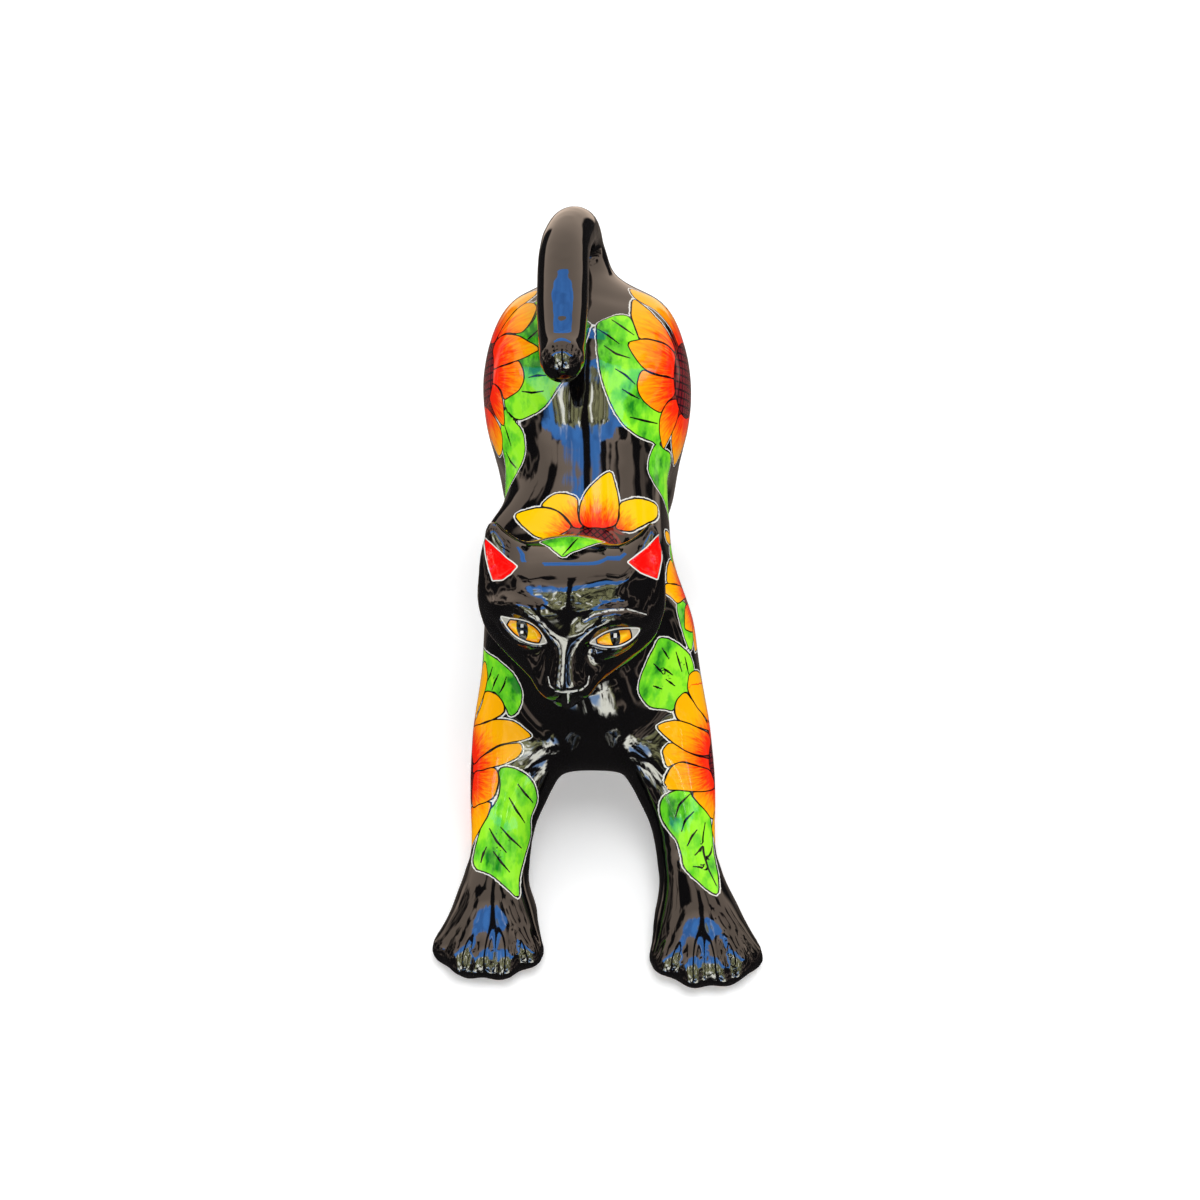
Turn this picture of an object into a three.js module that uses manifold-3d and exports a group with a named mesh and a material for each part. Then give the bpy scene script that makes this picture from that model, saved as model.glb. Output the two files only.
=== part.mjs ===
// Ceramic cat figure, stretching: front paws reached out along the ground, haunches raised, tail
// hooked forward over the back. It is one casting, so it is one mesh.
// Millimetres, +Z up, the cat faces -Y, and +X is its own left side.
//
// The form is modelled the way clay is: limbs, muscles and features are soft volumes that run into
// each other. The surface where the blended distance is zero is polygonised, then thinned out to
// few triangles where the form is smooth and more where it is carved.
import * as THREE from 'three';
import { mergeVertices } from 'three/addons/utils/BufferGeometryUtils.js';
import { triTable } from 'three/addons/objects/MarchingCubes.js';
import Module from 'manifold-3d';

// Driving sizes
const figureLength = 430; // tips of the front toes to the back of the haunches
const soleHeight = 1.2; // below this height the paws are ground flat
const triangleBudget = 9400;

// Proportions, in per cent of the length
const frontLegs = { apart: 12.8, thick: 4.9 };
const hindLegs = { apart: 8.8, thick: 4.4 };
const head = { x: -2.9, y: -19, z: 40, wide: 25.2, turned: 4, tippedBack: 14 };
const tail = { thick: 3.5, rootX: -2.1, tipX: -3.8 };

// How softly one volume runs into the next, in per cent of the length
const blends = { limbs: 6.5, neck: 6, tail: 3.5, paws: 1.6, head: 3 };

// Polygonising step, in per cent of the length, over the figure and about the head
const cell = 0.9;
const faceCell = 0.52;

const left = 1;
const right = -1;
const sides = [left, right];

const glaze = new THREE.MeshStandardMaterial({ color: 0x08080a, roughness: 0.08, metalness: 0 });

// Blending of distances

function join(a, b, blend) {
  const h = Math.max(blend - Math.abs(a - b), 0) / blend;
  return Math.min(a, b) - (h * h * h * blend) / 6;
}

function carve(a, b, blend) {
  return -join(-a, b, blend);
}

// Soft volumes. Each one is a function of a point that gives the distance to its surface. Past
// this distance from a volume's bounds the distance to the bounds is near enough.
const reach = 7;

function ellipsoid(at, radii, turn = new THREE.Euler()) {
  const [cx, cy, cz] = at;
  const [rx, ry, rz] = radii;
  const bounds = Math.max(rx, ry, rz);
  const m = new THREE.Matrix4().makeRotationFromEuler(turn).invert().elements;
  return (x, y, z) => {
    const dx = x - cx;
    const dy = y - cy;
    const dz = z - cz;
    const outside = Math.sqrt(dx * dx + dy * dy + dz * dz) - bounds;
    if (outside > reach) return outside;
    const a = (m[0] * dx + m[4] * dy + m[8] * dz) / rx;
    const b = (m[1] * dx + m[5] * dy + m[9] * dz) / ry;
    const c = (m[2] * dx + m[6] * dy + m[10] * dz) / rz;
    const k0 = Math.sqrt(a * a + b * b + c * c);
    const k1 = Math.sqrt((a * a) / (rx * rx) + (b * b) / (ry * ry) + (c * c) / (rz * rz));
    return k1 < 1e-6 ? -Math.min(rx, ry, rz) : (k0 * (k0 - 1)) / k1;
  };
}

// A limb follows a smooth curve through its stations. A station is a place, half the width across
// and half the thickness.
function limb(stations, steps = 5) {
  const count = (stations.length - 1) * steps;
  const path = new THREE.CatmullRomCurve3(stations.map((s) => new THREE.Vector3(...s.slice(0, 3))));
  const girth = new THREE.CatmullRomCurve3(stations.map((s) => new THREE.Vector3(s[3], s[4], 0)));
  const rings = Array.from({ length: count + 1 }, (_, i) => {
    const t = i / count;
    const along = path.getTangent(t);
    const across = new THREE.Vector3(1, 0, 0).addScaledVector(along, -along.x).normalize();
    return { at: path.getPoint(t), along, across, size: girth.getPoint(t) };
  });
  const box = new THREE.Box3().setFromPoints(rings.map((r) => r.at));
  box.expandByScalar(Math.max(...stations.map((s) => Math.max(s[3], s[4]))));
  return (x, y, z) => {
    const ox = Math.max(box.min.x - x, x - box.max.x, 0);
    const oy = Math.max(box.min.y - y, y - box.max.y, 0);
    const oz = Math.max(box.min.z - z, z - box.max.z, 0);
    const outside = Math.sqrt(ox * ox + oy * oy + oz * oz);
    if (outside > reach) return outside;
    let best = Infinity;
    let ring = 0;
    let part = 0;
    for (let i = 0; i < count; i++) {
      const a = rings[i].at;
      const b = rings[i + 1].at;
      const ux = b.x - a.x;
      const uy = b.y - a.y;
      const uz = b.z - a.z;
      const t = ((x - a.x) * ux + (y - a.y) * uy + (z - a.z) * uz) / (ux * ux + uy * uy + uz * uz);
      const s = t < 0 ? 0 : t > 1 ? 1 : t;
      const dx = x - a.x - s * ux;
      const dy = y - a.y - s * uy;
      const dz = z - a.z - s * uz;
      const d = dx * dx + dy * dy + dz * dz;
      if (d < best) {
        best = d;
        ring = i;
        part = s;
      }
    }
    const a = rings[ring];
    const b = rings[ring + 1];
    const mix = (p, q) => p + (q - p) * part;
    const dx = x - mix(a.at.x, b.at.x);
    const dy = y - mix(a.at.y, b.at.y);
    const dz = z - mix(a.at.z, b.at.z);
    const sx = mix(a.across.x, b.across.x);
    const sy = mix(a.across.y, b.across.y);
    const sz = mix(a.across.z, b.across.z);
    const wide = mix(a.size.x, b.size.x);
    const thick = mix(a.size.y, b.size.y);
    const u = dx * sx + dy * sy + dz * sz;
    const v = Math.sqrt(Math.max(dx * dx + dy * dy + dz * dz - u * u, 0));
    const a2 = (u * u) / (wide * wide);
    const b2 = (v * v) / (thick * thick);
    const k0 = Math.sqrt(a2 + b2);
    const k1 = Math.sqrt(a2 / (wide * wide) + b2 / (thick * thick));
    return k1 < 1e-6 ? -Math.min(wide, thick) : (k0 * (k0 - 1)) / k1;
  };
}

// A wedge of clay between two balls of different size.
function peg(from, to, thickFrom, thickTo) {
  return limb([[...from, thickFrom, thickFrom], [...to, thickTo, thickTo]], 6);
}

// The trunk and limbs

function trunk() {
  return limb([
    [-0.3, -16, 21.5, 8.5, 8.5],
    [-0.5, -9, 24.5, 11.5, 11],
    [-0.8, 2, 29.5, 12.2, 11.5],
    [-1.2, 14, 37, 12, 11.3],
    [-1.2, 25, 44, 13.4, 13],
    [-1.2, 30, 45, 12.3, 12.3],
  ]);
}

function neck() {
  return limb([
    [-0.8, -8, 27, 9.5, 9],
    [head.x * 0.6, -12.5, 33, 9, 8],
    [head.x, head.y + 2, head.z - 1, 8, 7],
  ]);
}

function throat() {
  return limb([
    [head.x, head.y + 1, head.z - 6, 5, 4.5],
    [head.x * 0.6, -18, 27, 7, 4.5],
    [-0.6, -18.5, 21, 8, 5],
  ]);
}

function haunch(side) {
  return ellipsoid([side * 9 - 1, 26, 42.6], [6.2, 11, 12.5], new THREE.Euler(-0.5, 0, 0));
}

function shoulder(side) {
  const back = side === right ? 1.5 : 0;
  const middle = [side * 8.5 - 0.9, back - 9, 24 + back];
  return ellipsoid(middle, [5.6, 9, 10.5], new THREE.Euler(-0.5, 0, 0));
}

// The two front legs meet under the chest in an arch.
function chest() {
  const thick = 4.6;
  const thin = 3.7;
  return limb([
    [-10.2, -24.8, 10.4, thin, thin],
    [-6.8, -21.7, 14.3, thick - 0.2, thick - 0.2],
    [-0.2, -20.8, 15.1, thick, thick],
    [6.4, -21.7, 14.3, thick - 0.2, thick - 0.2],
    [10, -24.8, 10.4, thin, thin],
  ]);
}

function frontLeg(side) {
  const { apart, thick } = frontLegs;
  return limb([
    [side * (apart - 3.4) - 0.3, -10, 23, 5, 7],
    [side * (apart - 1) - 0.3, -17, 14.8, 5.2, 6.4],
    [side * (apart - 0.1) - 0.1, -26, 8.8, thick, 5],
    [side * (apart + 0.4), -35, 5.6, thick - 0.7, 4.1],
    [side * (apart + 1.4), -40, 4.6, thick, 4],
  ]);
}

function hindLeg(side) {
  const { apart, thick } = hindLegs;
  const lean = -0.8;
  return limb([
    [side * apart + lean, 25, 36, 5.6, 10],
    [side * apart + lean, 23, 25, thick + 0.6, 8],
    [side * (apart + 0.2) + lean, 29, 15, thick - 0.6, 5.2],
    [side * (apart + 0.4) + lean, 33.5, 7, thick - 0.9, 4.4],
    [side * (apart + 0.5) + lean, 32, 3.4, thick - 0.6, 3.4],
    [side * (apart + 0.7) + lean, 26, 2.9, thick, 3.2],
  ]);
}

// A paw is a pad with four toes fanned out in front of it.
function paw(x, y, size, splay) {
  const toes = [-1.5, -0.5, 0.5, 1.5];
  const pad = ellipsoid([x, y + 0.2 * size, 2.6 * size], [4.5 * size, 4.6 * size, 4.2 * size]);
  const toe = toes.map((n) => {
    const fan = n * 0.36 + splay;
    const length = (6 - 0.5 * n * n) * size;
    const knuckle = [x + n * 1.1 * size, y + 0.5 * size, 3 * size];
    const tip = [
      x + Math.sin(fan) * length + n * 1.2 * size,
      y - Math.cos(fan) * length,
      2.2 * size,
    ];
    return peg(knuckle, tip, 2 * size, 2.2 * size);
  });
  return (px, py, pz) => toe.reduce((d, f) => join(d, f(px, py, pz), 1.8 * size), pad(px, py, pz));
}

function tailHook() {
  const { thick, rootX, tipX } = tail;
  return limb([
    [rootX + 1, 29, 50, thick + 3, thick + 3],
    [rootX + 0.8, 36, 54, thick + 0.8, thick + 1],
    [rootX + 0.2, 39.5, 58.5, thick + 0.1, thick + 0.2],
    [rootX - 0.3, 36.8, 62.8, thick, thick],
    [tipX + 0.2, 29, 64.6, thick, thick],
    [tipX, 19, 62.8, thick, thick],
    [tipX, 10, 60.8, thick - 0.2, thick - 0.2],
    [tipX, 7.7, 60.8, thick - 0.2, thick - 0.2],
  ]);
}

// The head is modelled about its own middle, facing -Y, and then turned and set on the neck.

function face() {
  const w = head.wide;
  const sized = (values) => values.map((v) => v * w);
  const part = (at, radii, turn) => ellipsoid(sized(at), sized(radii), turn);
  const pin = (from, to, a, b) => peg(sized(from), sized(to), a * w, b * w);
  const bar = (...stations) => limb(stations.map(sized), 6);
  const skull = part([0, 0.03, 0.02], [0.44, 0.38, 0.35]);
  const jaws = sides.map((s) => pin([s * 0.27, -0.03, -0.03], [s * 0.05, -0.3, -0.22], 0.19, 0.11));
  const bridge = bar(
    [0, -0.24, 0.2, 0.1, 0.07],
    [0, -0.36, 0.02, 0.085, 0.06],
    [0, -0.42, -0.17, 0.085, 0.06],
  );
  const pads = sides.map((s) => part([s * 0.055, -0.35, -0.24], [0.09, 0.09, 0.08]));
  const chin = part([0, -0.3, -0.34], [0.08, 0.09, 0.07]);
  // The eye on its left sits a little lower than the other, and the ear above it a little higher.
  const eyeLine = (s) => (s === left ? -0.02 : 0.01);
  const brows = sides.map((s) => bar(
    [s * 0.06, -0.36, eyeLine(s) + 0.07, 0.04, 0.04],
    [s * 0.15, -0.335, eyeLine(s) + 0.16, 0.045, 0.045],
    [s * 0.28, -0.275, eyeLine(s) + 0.165, 0.045, 0.045],
    [s * 0.38, -0.185, eyeLine(s) + 0.09, 0.04, 0.04],
  ));
  const sockets = sides.map((s) => part(
    [s * 0.24, -0.42, eyeLine(s) + 0.01],
    [0.17, 0.1, 0.085],
    new THREE.Euler(0, -s * 0.3, 0),
  ));
  const eyes = sides.map((s) => part(
    [s * 0.228, -0.25, eyeLine(s)],
    [0.15, 0.1, 0.072],
    new THREE.Euler(0, -s * 0.35, s * 0.3),
  ));
  const earRise = (s) => (s === left ? 0.035 : 0);
  const ears = sides.map((s) => bar(
    [s * 0.29, -0.01, 0.13, 0.2, 0.15],
    [s * 0.345, 0.01, 0.3 + earRise(s), 0.14, 0.09],
    [s * 0.38, 0.03, 0.44 + earRise(s), 0.075, 0.06],
  ));
  const earHollows = sides.map((s) => part(
    [s * 0.4, -0.145, 0.34 + earRise(s)],
    [0.09, 0.1, 0.13],
    new THREE.Euler(0.1, s * 0.15, s * 0.3),
  ));
  const added = [[jaws, 0.12], [ears, 0.16], [pads, 0.08], [[chin], 0.06], [[bridge, ...brows], 0.08]];
  const hollowed = [[sockets, 0.06], [earHollows, 0.03]];
  const eyeEdge = 0.02;
  return (x, y, z) => {
    let d = skull(x, y, z);
    for (const [volumes, blend] of added) {
      for (const f of volumes) d = join(d, f(x, y, z), blend * w);
    }
    for (const [volumes, blend] of hollowed) {
      for (const f of volumes) d = carve(d, f(x, y, z), blend * w);
    }
    for (const f of eyes) d = join(d, f(x, y, z), eyeEdge * w);
    return d;
  };
}

function setHead(shape) {
  const { degToRad } = THREE.MathUtils;
  const turn = new THREE.Euler(degToRad(-head.tippedBack), 0, degToRad(-head.turned), 'ZXY');
  const m = new THREE.Matrix4().makeRotationFromEuler(turn).invert().elements;
  return (x, y, z) => {
    const dx = x - head.x;
    const dy = y - head.y;
    const dz = z - head.z;
    const outside = Math.sqrt(dx * dx + dy * dy + dz * dz) - head.wide * 0.7;
    if (outside > reach) return outside;
    return shape(
      m[0] * dx + m[4] * dy + m[8] * dz,
      m[1] * dx + m[5] * dy + m[9] * dz,
      m[2] * dx + m[6] * dy + m[10] * dz,
    );
  };
}

function wholeCat() {
  const body = trunk();
  const parts = [
    ...sides.map(shoulder),
    ...sides.map(haunch),
    ...sides.map(frontLeg),
    ...sides.map(hindLeg),
  ];
  const chestPart = chest();
  const neckParts = [neck(), throat()];
  const tailPart = tailHook();
  const headPart = setHead(face());
  const feet = sides.flatMap((s) => [
    paw(s * 14.5 + 0.5, s === left ? -43.4 : -42.2, 1.22, s * 0.1),
    paw(s * (hindLegs.apart + 0.8) - 0.8, 24.5, 0.9, s * 0.05),
  ]);
  return (x, y, z) => {
    let d = body(x, y, z);
    for (const f of parts) d = join(d, f(x, y, z), blends.limbs);
    for (const f of neckParts) d = join(d, f(x, y, z), blends.neck);
    d = join(d, chestPart(x, y, z), blends.limbs);
    d = join(d, tailPart(x, y, z), blends.tail);
    for (const f of feet) d = join(d, f(x, y, z), blends.paws);
    return join(d, headPart(x, y, z), blends.head);
  };
}

// Polygonising: marching cubes over a grid, with one shared vertex for each crossed grid edge.

const cornerSteps = [
  [0, 0, 0], [1, 0, 0], [1, 1, 0], [0, 1, 0],
  [0, 0, 1], [1, 0, 1], [1, 1, 1], [0, 1, 1],
];
const edgeCorners = [
  [0, 1], [1, 2], [3, 2], [0, 3],
  [4, 5], [5, 6], [7, 6], [4, 7],
  [0, 4], [1, 5], [2, 6], [3, 7],
];

// The grid's planes along an axis, closer together where the head is, in whole blocks.
function planes(from, to, fineFrom, fineTo, block) {
  const stops = [from];
  while (stops.at(-1) < to || (stops.length - 1) % block) {
    const last = stops.at(-1);
    stops.push(last + (last >= fineFrom && last < fineTo ? faceCell : cell));
  }
  return stops;
}

function polygonise(shape, box, fine) {
  const block = 4; // grid steps along the side of a block that is passed over as a whole
  const grid = ['x', 'y', 'z'].map(
    (u) => planes(box.min[u], box.max[u], fine.min[u], fine.max[u], block),
  );
  const [nx, ny, nz] = grid.map((stops) => stops.length);
  const id = (i, j, k) => i + nx * (j + ny * k);
  const at = (i, j, k) => [grid[0][i], grid[1][j], grid[2][k]];
  // Where a block's middle is far from the surface the whole block has its sign.
  const farAway = 1.3;
  const nearCorner = 0.08;
  const value = new Float64Array(nx * ny * nz);
  const middle = new THREE.Vector3();
  const corner = new THREE.Vector3();
  for (let k = 0; k < nz; k += block) {
    for (let j = 0; j < ny; j += block) {
      for (let i = 0; i < nx; i += block) {
        const ends = [i, j, k].map((n, u) => Math.min(n + block, [nx, ny, nz][u]));
        corner.set(...at(i, j, k));
        middle.set(...at(...ends.map((n) => n - 1))).lerp(corner, 0.5);
        const there = shape(middle.x, middle.y, middle.z);
        const far = Math.abs(there) > middle.distanceTo(corner) * farAway + cell;
        for (let c = k; c < ends[2]; c++) {
          for (let b = j; b < ends[1]; b++) {
            for (let a = i; a < ends[0]; a++) {
              value[id(a, b, c)] = far ? there : shape(...at(a, b, c));
            }
          }
        }
      }
    }
  }
  const points = [];
  const faces = [];
  const known = new Map();
  const vertexOn = (i, j, k, edge) => {
    const [a, b] = edgeCorners[edge].map((c) => cornerSteps[c].map((s, n) => s + [i, j, k][n]));
    const ia = id(...a);
    const ib = id(...b);
    const key = ia * nx * ny * nz + ib;
    if (!known.has(key)) {
      const crossing = value[ia] / (value[ia] - value[ib]);
      const t = THREE.MathUtils.clamp(crossing, nearCorner, 1 - nearCorner);
      const pa = new THREE.Vector3(...at(...a));
      known.set(key, points.push(pa.lerp(new THREE.Vector3(...at(...b)), t)) - 1);
    }
    return known.get(key);
  };
  for (let k = 0; k < nz - 1; k++) {
    for (let j = 0; j < ny - 1; j++) {
      for (let i = 0; i < nx - 1; i++) {
        let inside = 0;
        cornerSteps.forEach(([a, b, c], n) => {
          if (value[id(i + a, j + b, k + c)] < 0) inside |= 1 << n;
        });
        if (inside === 0 || inside === 255) continue;
        for (let n = inside * 16; triTable[n] !== -1; n += 3) {
          faces.push([0, 2, 1].map((m) => vertexOn(i, j, k, triTable[n + m])));
        }
      }
    }
  }
  return { points, faces };
}

// Moves a point onto the surface along the slope of the distance.
function settle(shape, p) {
  const e = 0.02;
  const longest = 0.4;
  const gentlest = 0.1;
  const slope = new THREE.Vector3();
  slope.set(
    shape(p.x + e, p.y, p.z) - shape(p.x - e, p.y, p.z),
    shape(p.x, p.y + e, p.z) - shape(p.x, p.y - e, p.z),
    shape(p.x, p.y, p.z + e) - shape(p.x, p.y, p.z - e),
  ).divideScalar(2 * e);
  const step = -shape(p.x, p.y, p.z) / Math.max(slope.lengthSq(), gentlest);
  p.addScaledVector(slope, THREE.MathUtils.clamp(step, -longest, longest));
}

// The vertices next to each vertex.
function ringsOf({ points, faces }) {
  const rings = points.map(() => new Set());
  for (const [a, b, c] of faces) {
    rings[a].add(b).add(c);
    rings[b].add(c).add(a);
    rings[c].add(a).add(b);
  }
  return rings;
}

// Evens out the triangles of a surface: each point goes most of the way to the middle of its
// neighbours and back onto the shape.
function relax(skin, shape) {
  const rounds = 2;
  const share = 0.6;
  const rings = ringsOf(skin);
  for (let n = 0; n < rounds; n++) {
    skin.points.forEach((p, v) => {
      const middle = new THREE.Vector3();
      rings[v].forEach((u) => middle.addScaledVector(skin.points[u], 1 / rings[v].size));
      settle(shape, p.lerp(middle, share));
    });
  }
  return skin;
}

// A heap that gives back the cheapest entry first. An entry's first item is its cost.
class Heap {
  items = [];

  push(entry) {
    const { items } = this;
    let n = items.push(entry) - 1;
    while (n > 0) {
      const up = (n - 1) >> 1;
      if (items[up][0] <= entry[0]) break;
      items[n] = items[up];
      n = up;
    }
    items[n] = entry;
  }

  pop() {
    const { items } = this;
    const top = items[0];
    const last = items.pop();
    if (!items.length) return top;
    let n = 0;
    for (;;) {
      let down = 2 * n + 1;
      if (down >= items.length) break;
      if (down + 1 < items.length && items[down + 1][0] < items[down][0]) down++;
      if (last[0] <= items[down][0]) break;
      items[n] = items[down];
      n = down;
    }
    items[n] = last;
    return top;
  }
}

// The area-weighted squared distance to a triangle's plane, as a function of a point:
// p.A.p + 2 b.p + c.
function planeQuadric(a, b, c) {
  const normal = new THREE.Vector3().subVectors(b, a).cross(new THREE.Vector3().subVectors(c, a));
  const area = normal.length() / 2;
  const { x, y, z } = normal.normalize();
  const d = -normal.dot(a);
  return [x * x, x * y, x * z, y * y, y * z, z * z, x * d, y * d, z * d, d * d].map((v) => v * area);
}

function quadricCost(q, { x, y, z }) {
  return q[0] * x * x + 2 * q[1] * x * y + 2 * q[2] * x * z + q[3] * y * y + 2 * q[4] * y * z
    + q[5] * z * z + 2 * (q[6] * x + q[7] * y + q[8] * z) + q[9];
}

// Where two quadrics together cost least near an edge: its middle, moved down the cost's slope.
function cheapestPlace(q, a, b) {
  const place = new THREE.Vector3().lerpVectors(a, b, 0.5);
  const m = new THREE.Matrix3().set(q[0], q[1], q[2], q[1], q[3], q[4], q[2], q[4], q[5]);
  const trace = q[0] + q[3] + q[5];
  const held = m.clone();
  const hold = 0.02;
  [0, 4, 8].forEach((n) => {
    held.elements[n] += trace * hold;
  });
  const slope = place.clone().applyMatrix3(m).add(new THREE.Vector3(q[6], q[7], q[8]));
  return place.sub(slope.applyMatrix3(held.invert()));
}

// Thins a closed surface out to a number of triangles by quadric edge collapse. A collapse may turn
// a triangle only so far and leave it only so narrow, and long edges cost a little more. The rule
// on narrow triangles is eased in steps.
function thinOut({ points, faces }, budget) {
  const leastEvenness = [0.12, 0.08, 0.05];
  const leastCosine = 0.4;
  const stretchCost = 1e-4;
  const around = points.map(() => new Set());
  faces.forEach((face, n) => face.forEach((v) => around[v].add(n)));
  const quadrics = points.map(() => new Array(10).fill(0));
  for (const face of faces) {
    const q = planeQuadric(...face.map((v) => points[v]));
    for (const v of face) quadrics[v] = quadrics[v].map((value, n) => value + q[n]);
  }
  const changes = new Int32Array(points.length);
  const neighbours = (v) => {
    const found = new Set();
    for (const n of around[v]) for (const other of faces[n]) if (other !== v) found.add(other);
    return found;
  };
  const normal = new THREE.Vector3();
  const before = new THREE.Vector3();
  const side = new THREE.Vector3();
  const keepsItsShape = (v, gone, place, evenness) => {
    for (const n of around[v]) {
      const face = faces[n];
      if (face.includes(gone)) continue;
      const [p, q, r] = face.map((u) => points[u]);
      before.subVectors(q, p).cross(side.subVectors(r, p));
      const [s, t, u] = face.map((w) => (w === v ? place : points[w]));
      normal.subVectors(t, s).cross(side.subVectors(u, s));
      const edges = s.distanceToSquared(t) + t.distanceToSquared(u) + u.distanceToSquared(s);
      if (normal.length() < evenness * edges) return false;
      if (before.normalize().dot(normal.normalize()) < leastCosine) return false;
    }
    return true;
  };
  let count = faces.length;
  for (const evenness of leastEvenness) {
    const heap = new Heap();
    const offer = (a, b) => {
      const q = quadrics[a].map((value, n) => value + quadrics[b][n]);
      const place = cheapestPlace(q, points[a], points[b]);
      const stretch = points[a].distanceToSquared(points[b]);
      const cost = quadricCost(q, place) + stretchCost * stretch * stretch;
      heap.push([cost, a, b, changes[a], changes[b], place]);
    };
    for (const face of faces.filter(Boolean)) {
      const [a, b, c] = face;
      for (const [u, v] of [[a, b], [b, c], [c, a]]) if (u < v) offer(u, v);
    }
    while (count > budget && heap.items.length) {
      const [, a, b, changedA, changedB, place] = heap.pop();
      if (changes[a] !== changedA || changes[b] !== changedB) continue;
      const nearB = neighbours(b);
      if ([...neighbours(a)].filter((v) => nearB.has(v)).length !== 2) continue;
      if (!keepsItsShape(a, b, place, evenness) || !keepsItsShape(b, a, place, evenness)) continue;
      for (const n of around[b]) {
        if (faces[n].includes(a)) {
          for (const v of faces[n]) if (v !== b) around[v].delete(n);
          faces[n] = null;
          count--;
        } else {
          faces[n][faces[n].indexOf(b)] = a;
          around[a].add(n);
        }
      }
      points[a] = place;
      quadrics[a] = quadrics[a].map((value, n) => value + quadrics[b][n]);
      around[b].clear();
      changes[a]++;
      changes[b] = -1;
      for (const v of neighbours(a)) offer(a, v);
    }
  }
  return { points, faces: faces.filter(Boolean) };
}

function geometryOf({ points, faces }) {
  const corners = faces.flat().flatMap((v) => points[v].toArray());
  const position = new THREE.Float32BufferAttribute(corners, 3);
  return new THREE.BufferGeometry().setAttribute('position', position);
}

const wasm = await Module();
wasm.setup();

function solidOf(geometry) {
  const sameSpot = 1e-4;
  const bare = new THREE.BufferGeometry().setAttribute('position', geometry.getAttribute('position'));
  const merged = mergeVertices(geometry.index ? bare.setIndex(geometry.index) : bare, sameSpot);
  return new wasm.Manifold(new wasm.Mesh({
    numProp: 3,
    vertProperties: merged.getAttribute('position').array,
    triVerts: new Uint32Array(merged.index.array),
  }));
}

function geometryFrom(solid) {
  const { vertProperties, triVerts } = solid.getMesh();
  return new THREE.BufferGeometry()
    .setAttribute('position', new THREE.BufferAttribute(vertProperties, 3))
    .setIndex(new THREE.BufferAttribute(triVerts, 1));
}

function catFigure() {
  const room = new THREE.Box3(new THREE.Vector3(-26, -54, -4), new THREE.Vector3(26, 54, 80));
  const shape = wholeCat();
  const aboutHead = new THREE.Box3().setFromCenterAndSize(
    new THREE.Vector3(head.x, head.y, head.z + 1),
    new THREE.Vector3(1, 1, 1).multiplyScalar(head.wide),
  );
  const skin = polygonise(shape, room, aboutHead);
  const thin = geometryOf(thinOut(relax(skin, shape), triangleBudget));
  thin.computeBoundingBox();
  const share = figureLength / (thin.boundingBox.max.y - thin.boundingBox.min.y);
  thin.scale(share, share, share);
  const floor = new THREE.BoxGeometry(figureLength * 2, figureLength * 2, figureLength);
  floor.translate(0, 0, soleHeight - figureLength / 2);
  const geometry = geometryFrom(solidOf(thin).subtract(solidOf(floor)));
  geometry.computeBoundingBox();
  const middle = geometry.boundingBox.getCenter(new THREE.Vector3());
  geometry.translate(-middle.x, -middle.y, -soleHeight);
  const mesh = new THREE.Mesh(geometry, glaze);
  mesh.name = 'cat_figure';
  return mesh;
}

const cat = new THREE.Group();
cat.name = 'stretching_cat';
cat.add(catFigure());

export default cat;
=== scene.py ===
"""Glazed ceramic cat in a long forward stretch, black with painted sunflowers and leaves."""

import math

import bpy
import numpy as np
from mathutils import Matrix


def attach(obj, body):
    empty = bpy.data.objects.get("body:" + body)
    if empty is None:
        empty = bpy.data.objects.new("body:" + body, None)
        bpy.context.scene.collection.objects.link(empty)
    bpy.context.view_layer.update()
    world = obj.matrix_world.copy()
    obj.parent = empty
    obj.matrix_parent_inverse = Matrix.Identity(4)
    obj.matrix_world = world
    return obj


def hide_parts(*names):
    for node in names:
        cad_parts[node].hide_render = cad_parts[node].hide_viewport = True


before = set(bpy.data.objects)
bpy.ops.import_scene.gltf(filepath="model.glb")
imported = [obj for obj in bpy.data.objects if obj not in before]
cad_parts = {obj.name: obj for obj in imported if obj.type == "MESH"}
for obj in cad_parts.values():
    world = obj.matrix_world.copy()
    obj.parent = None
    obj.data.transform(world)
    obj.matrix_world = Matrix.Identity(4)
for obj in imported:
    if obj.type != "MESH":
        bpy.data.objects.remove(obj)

bl_info = {
    "name": "Ceramic cat statue",
    "version": (1, 0, 0),
    "blender": (4, 5, 0),
    "location": "3D View > Sidebar > Ceramic Cat",
    "description": "Builds the glazed and painted skin of a stretching ceramic cat",
    "category": "Add Mesh",
}

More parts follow.
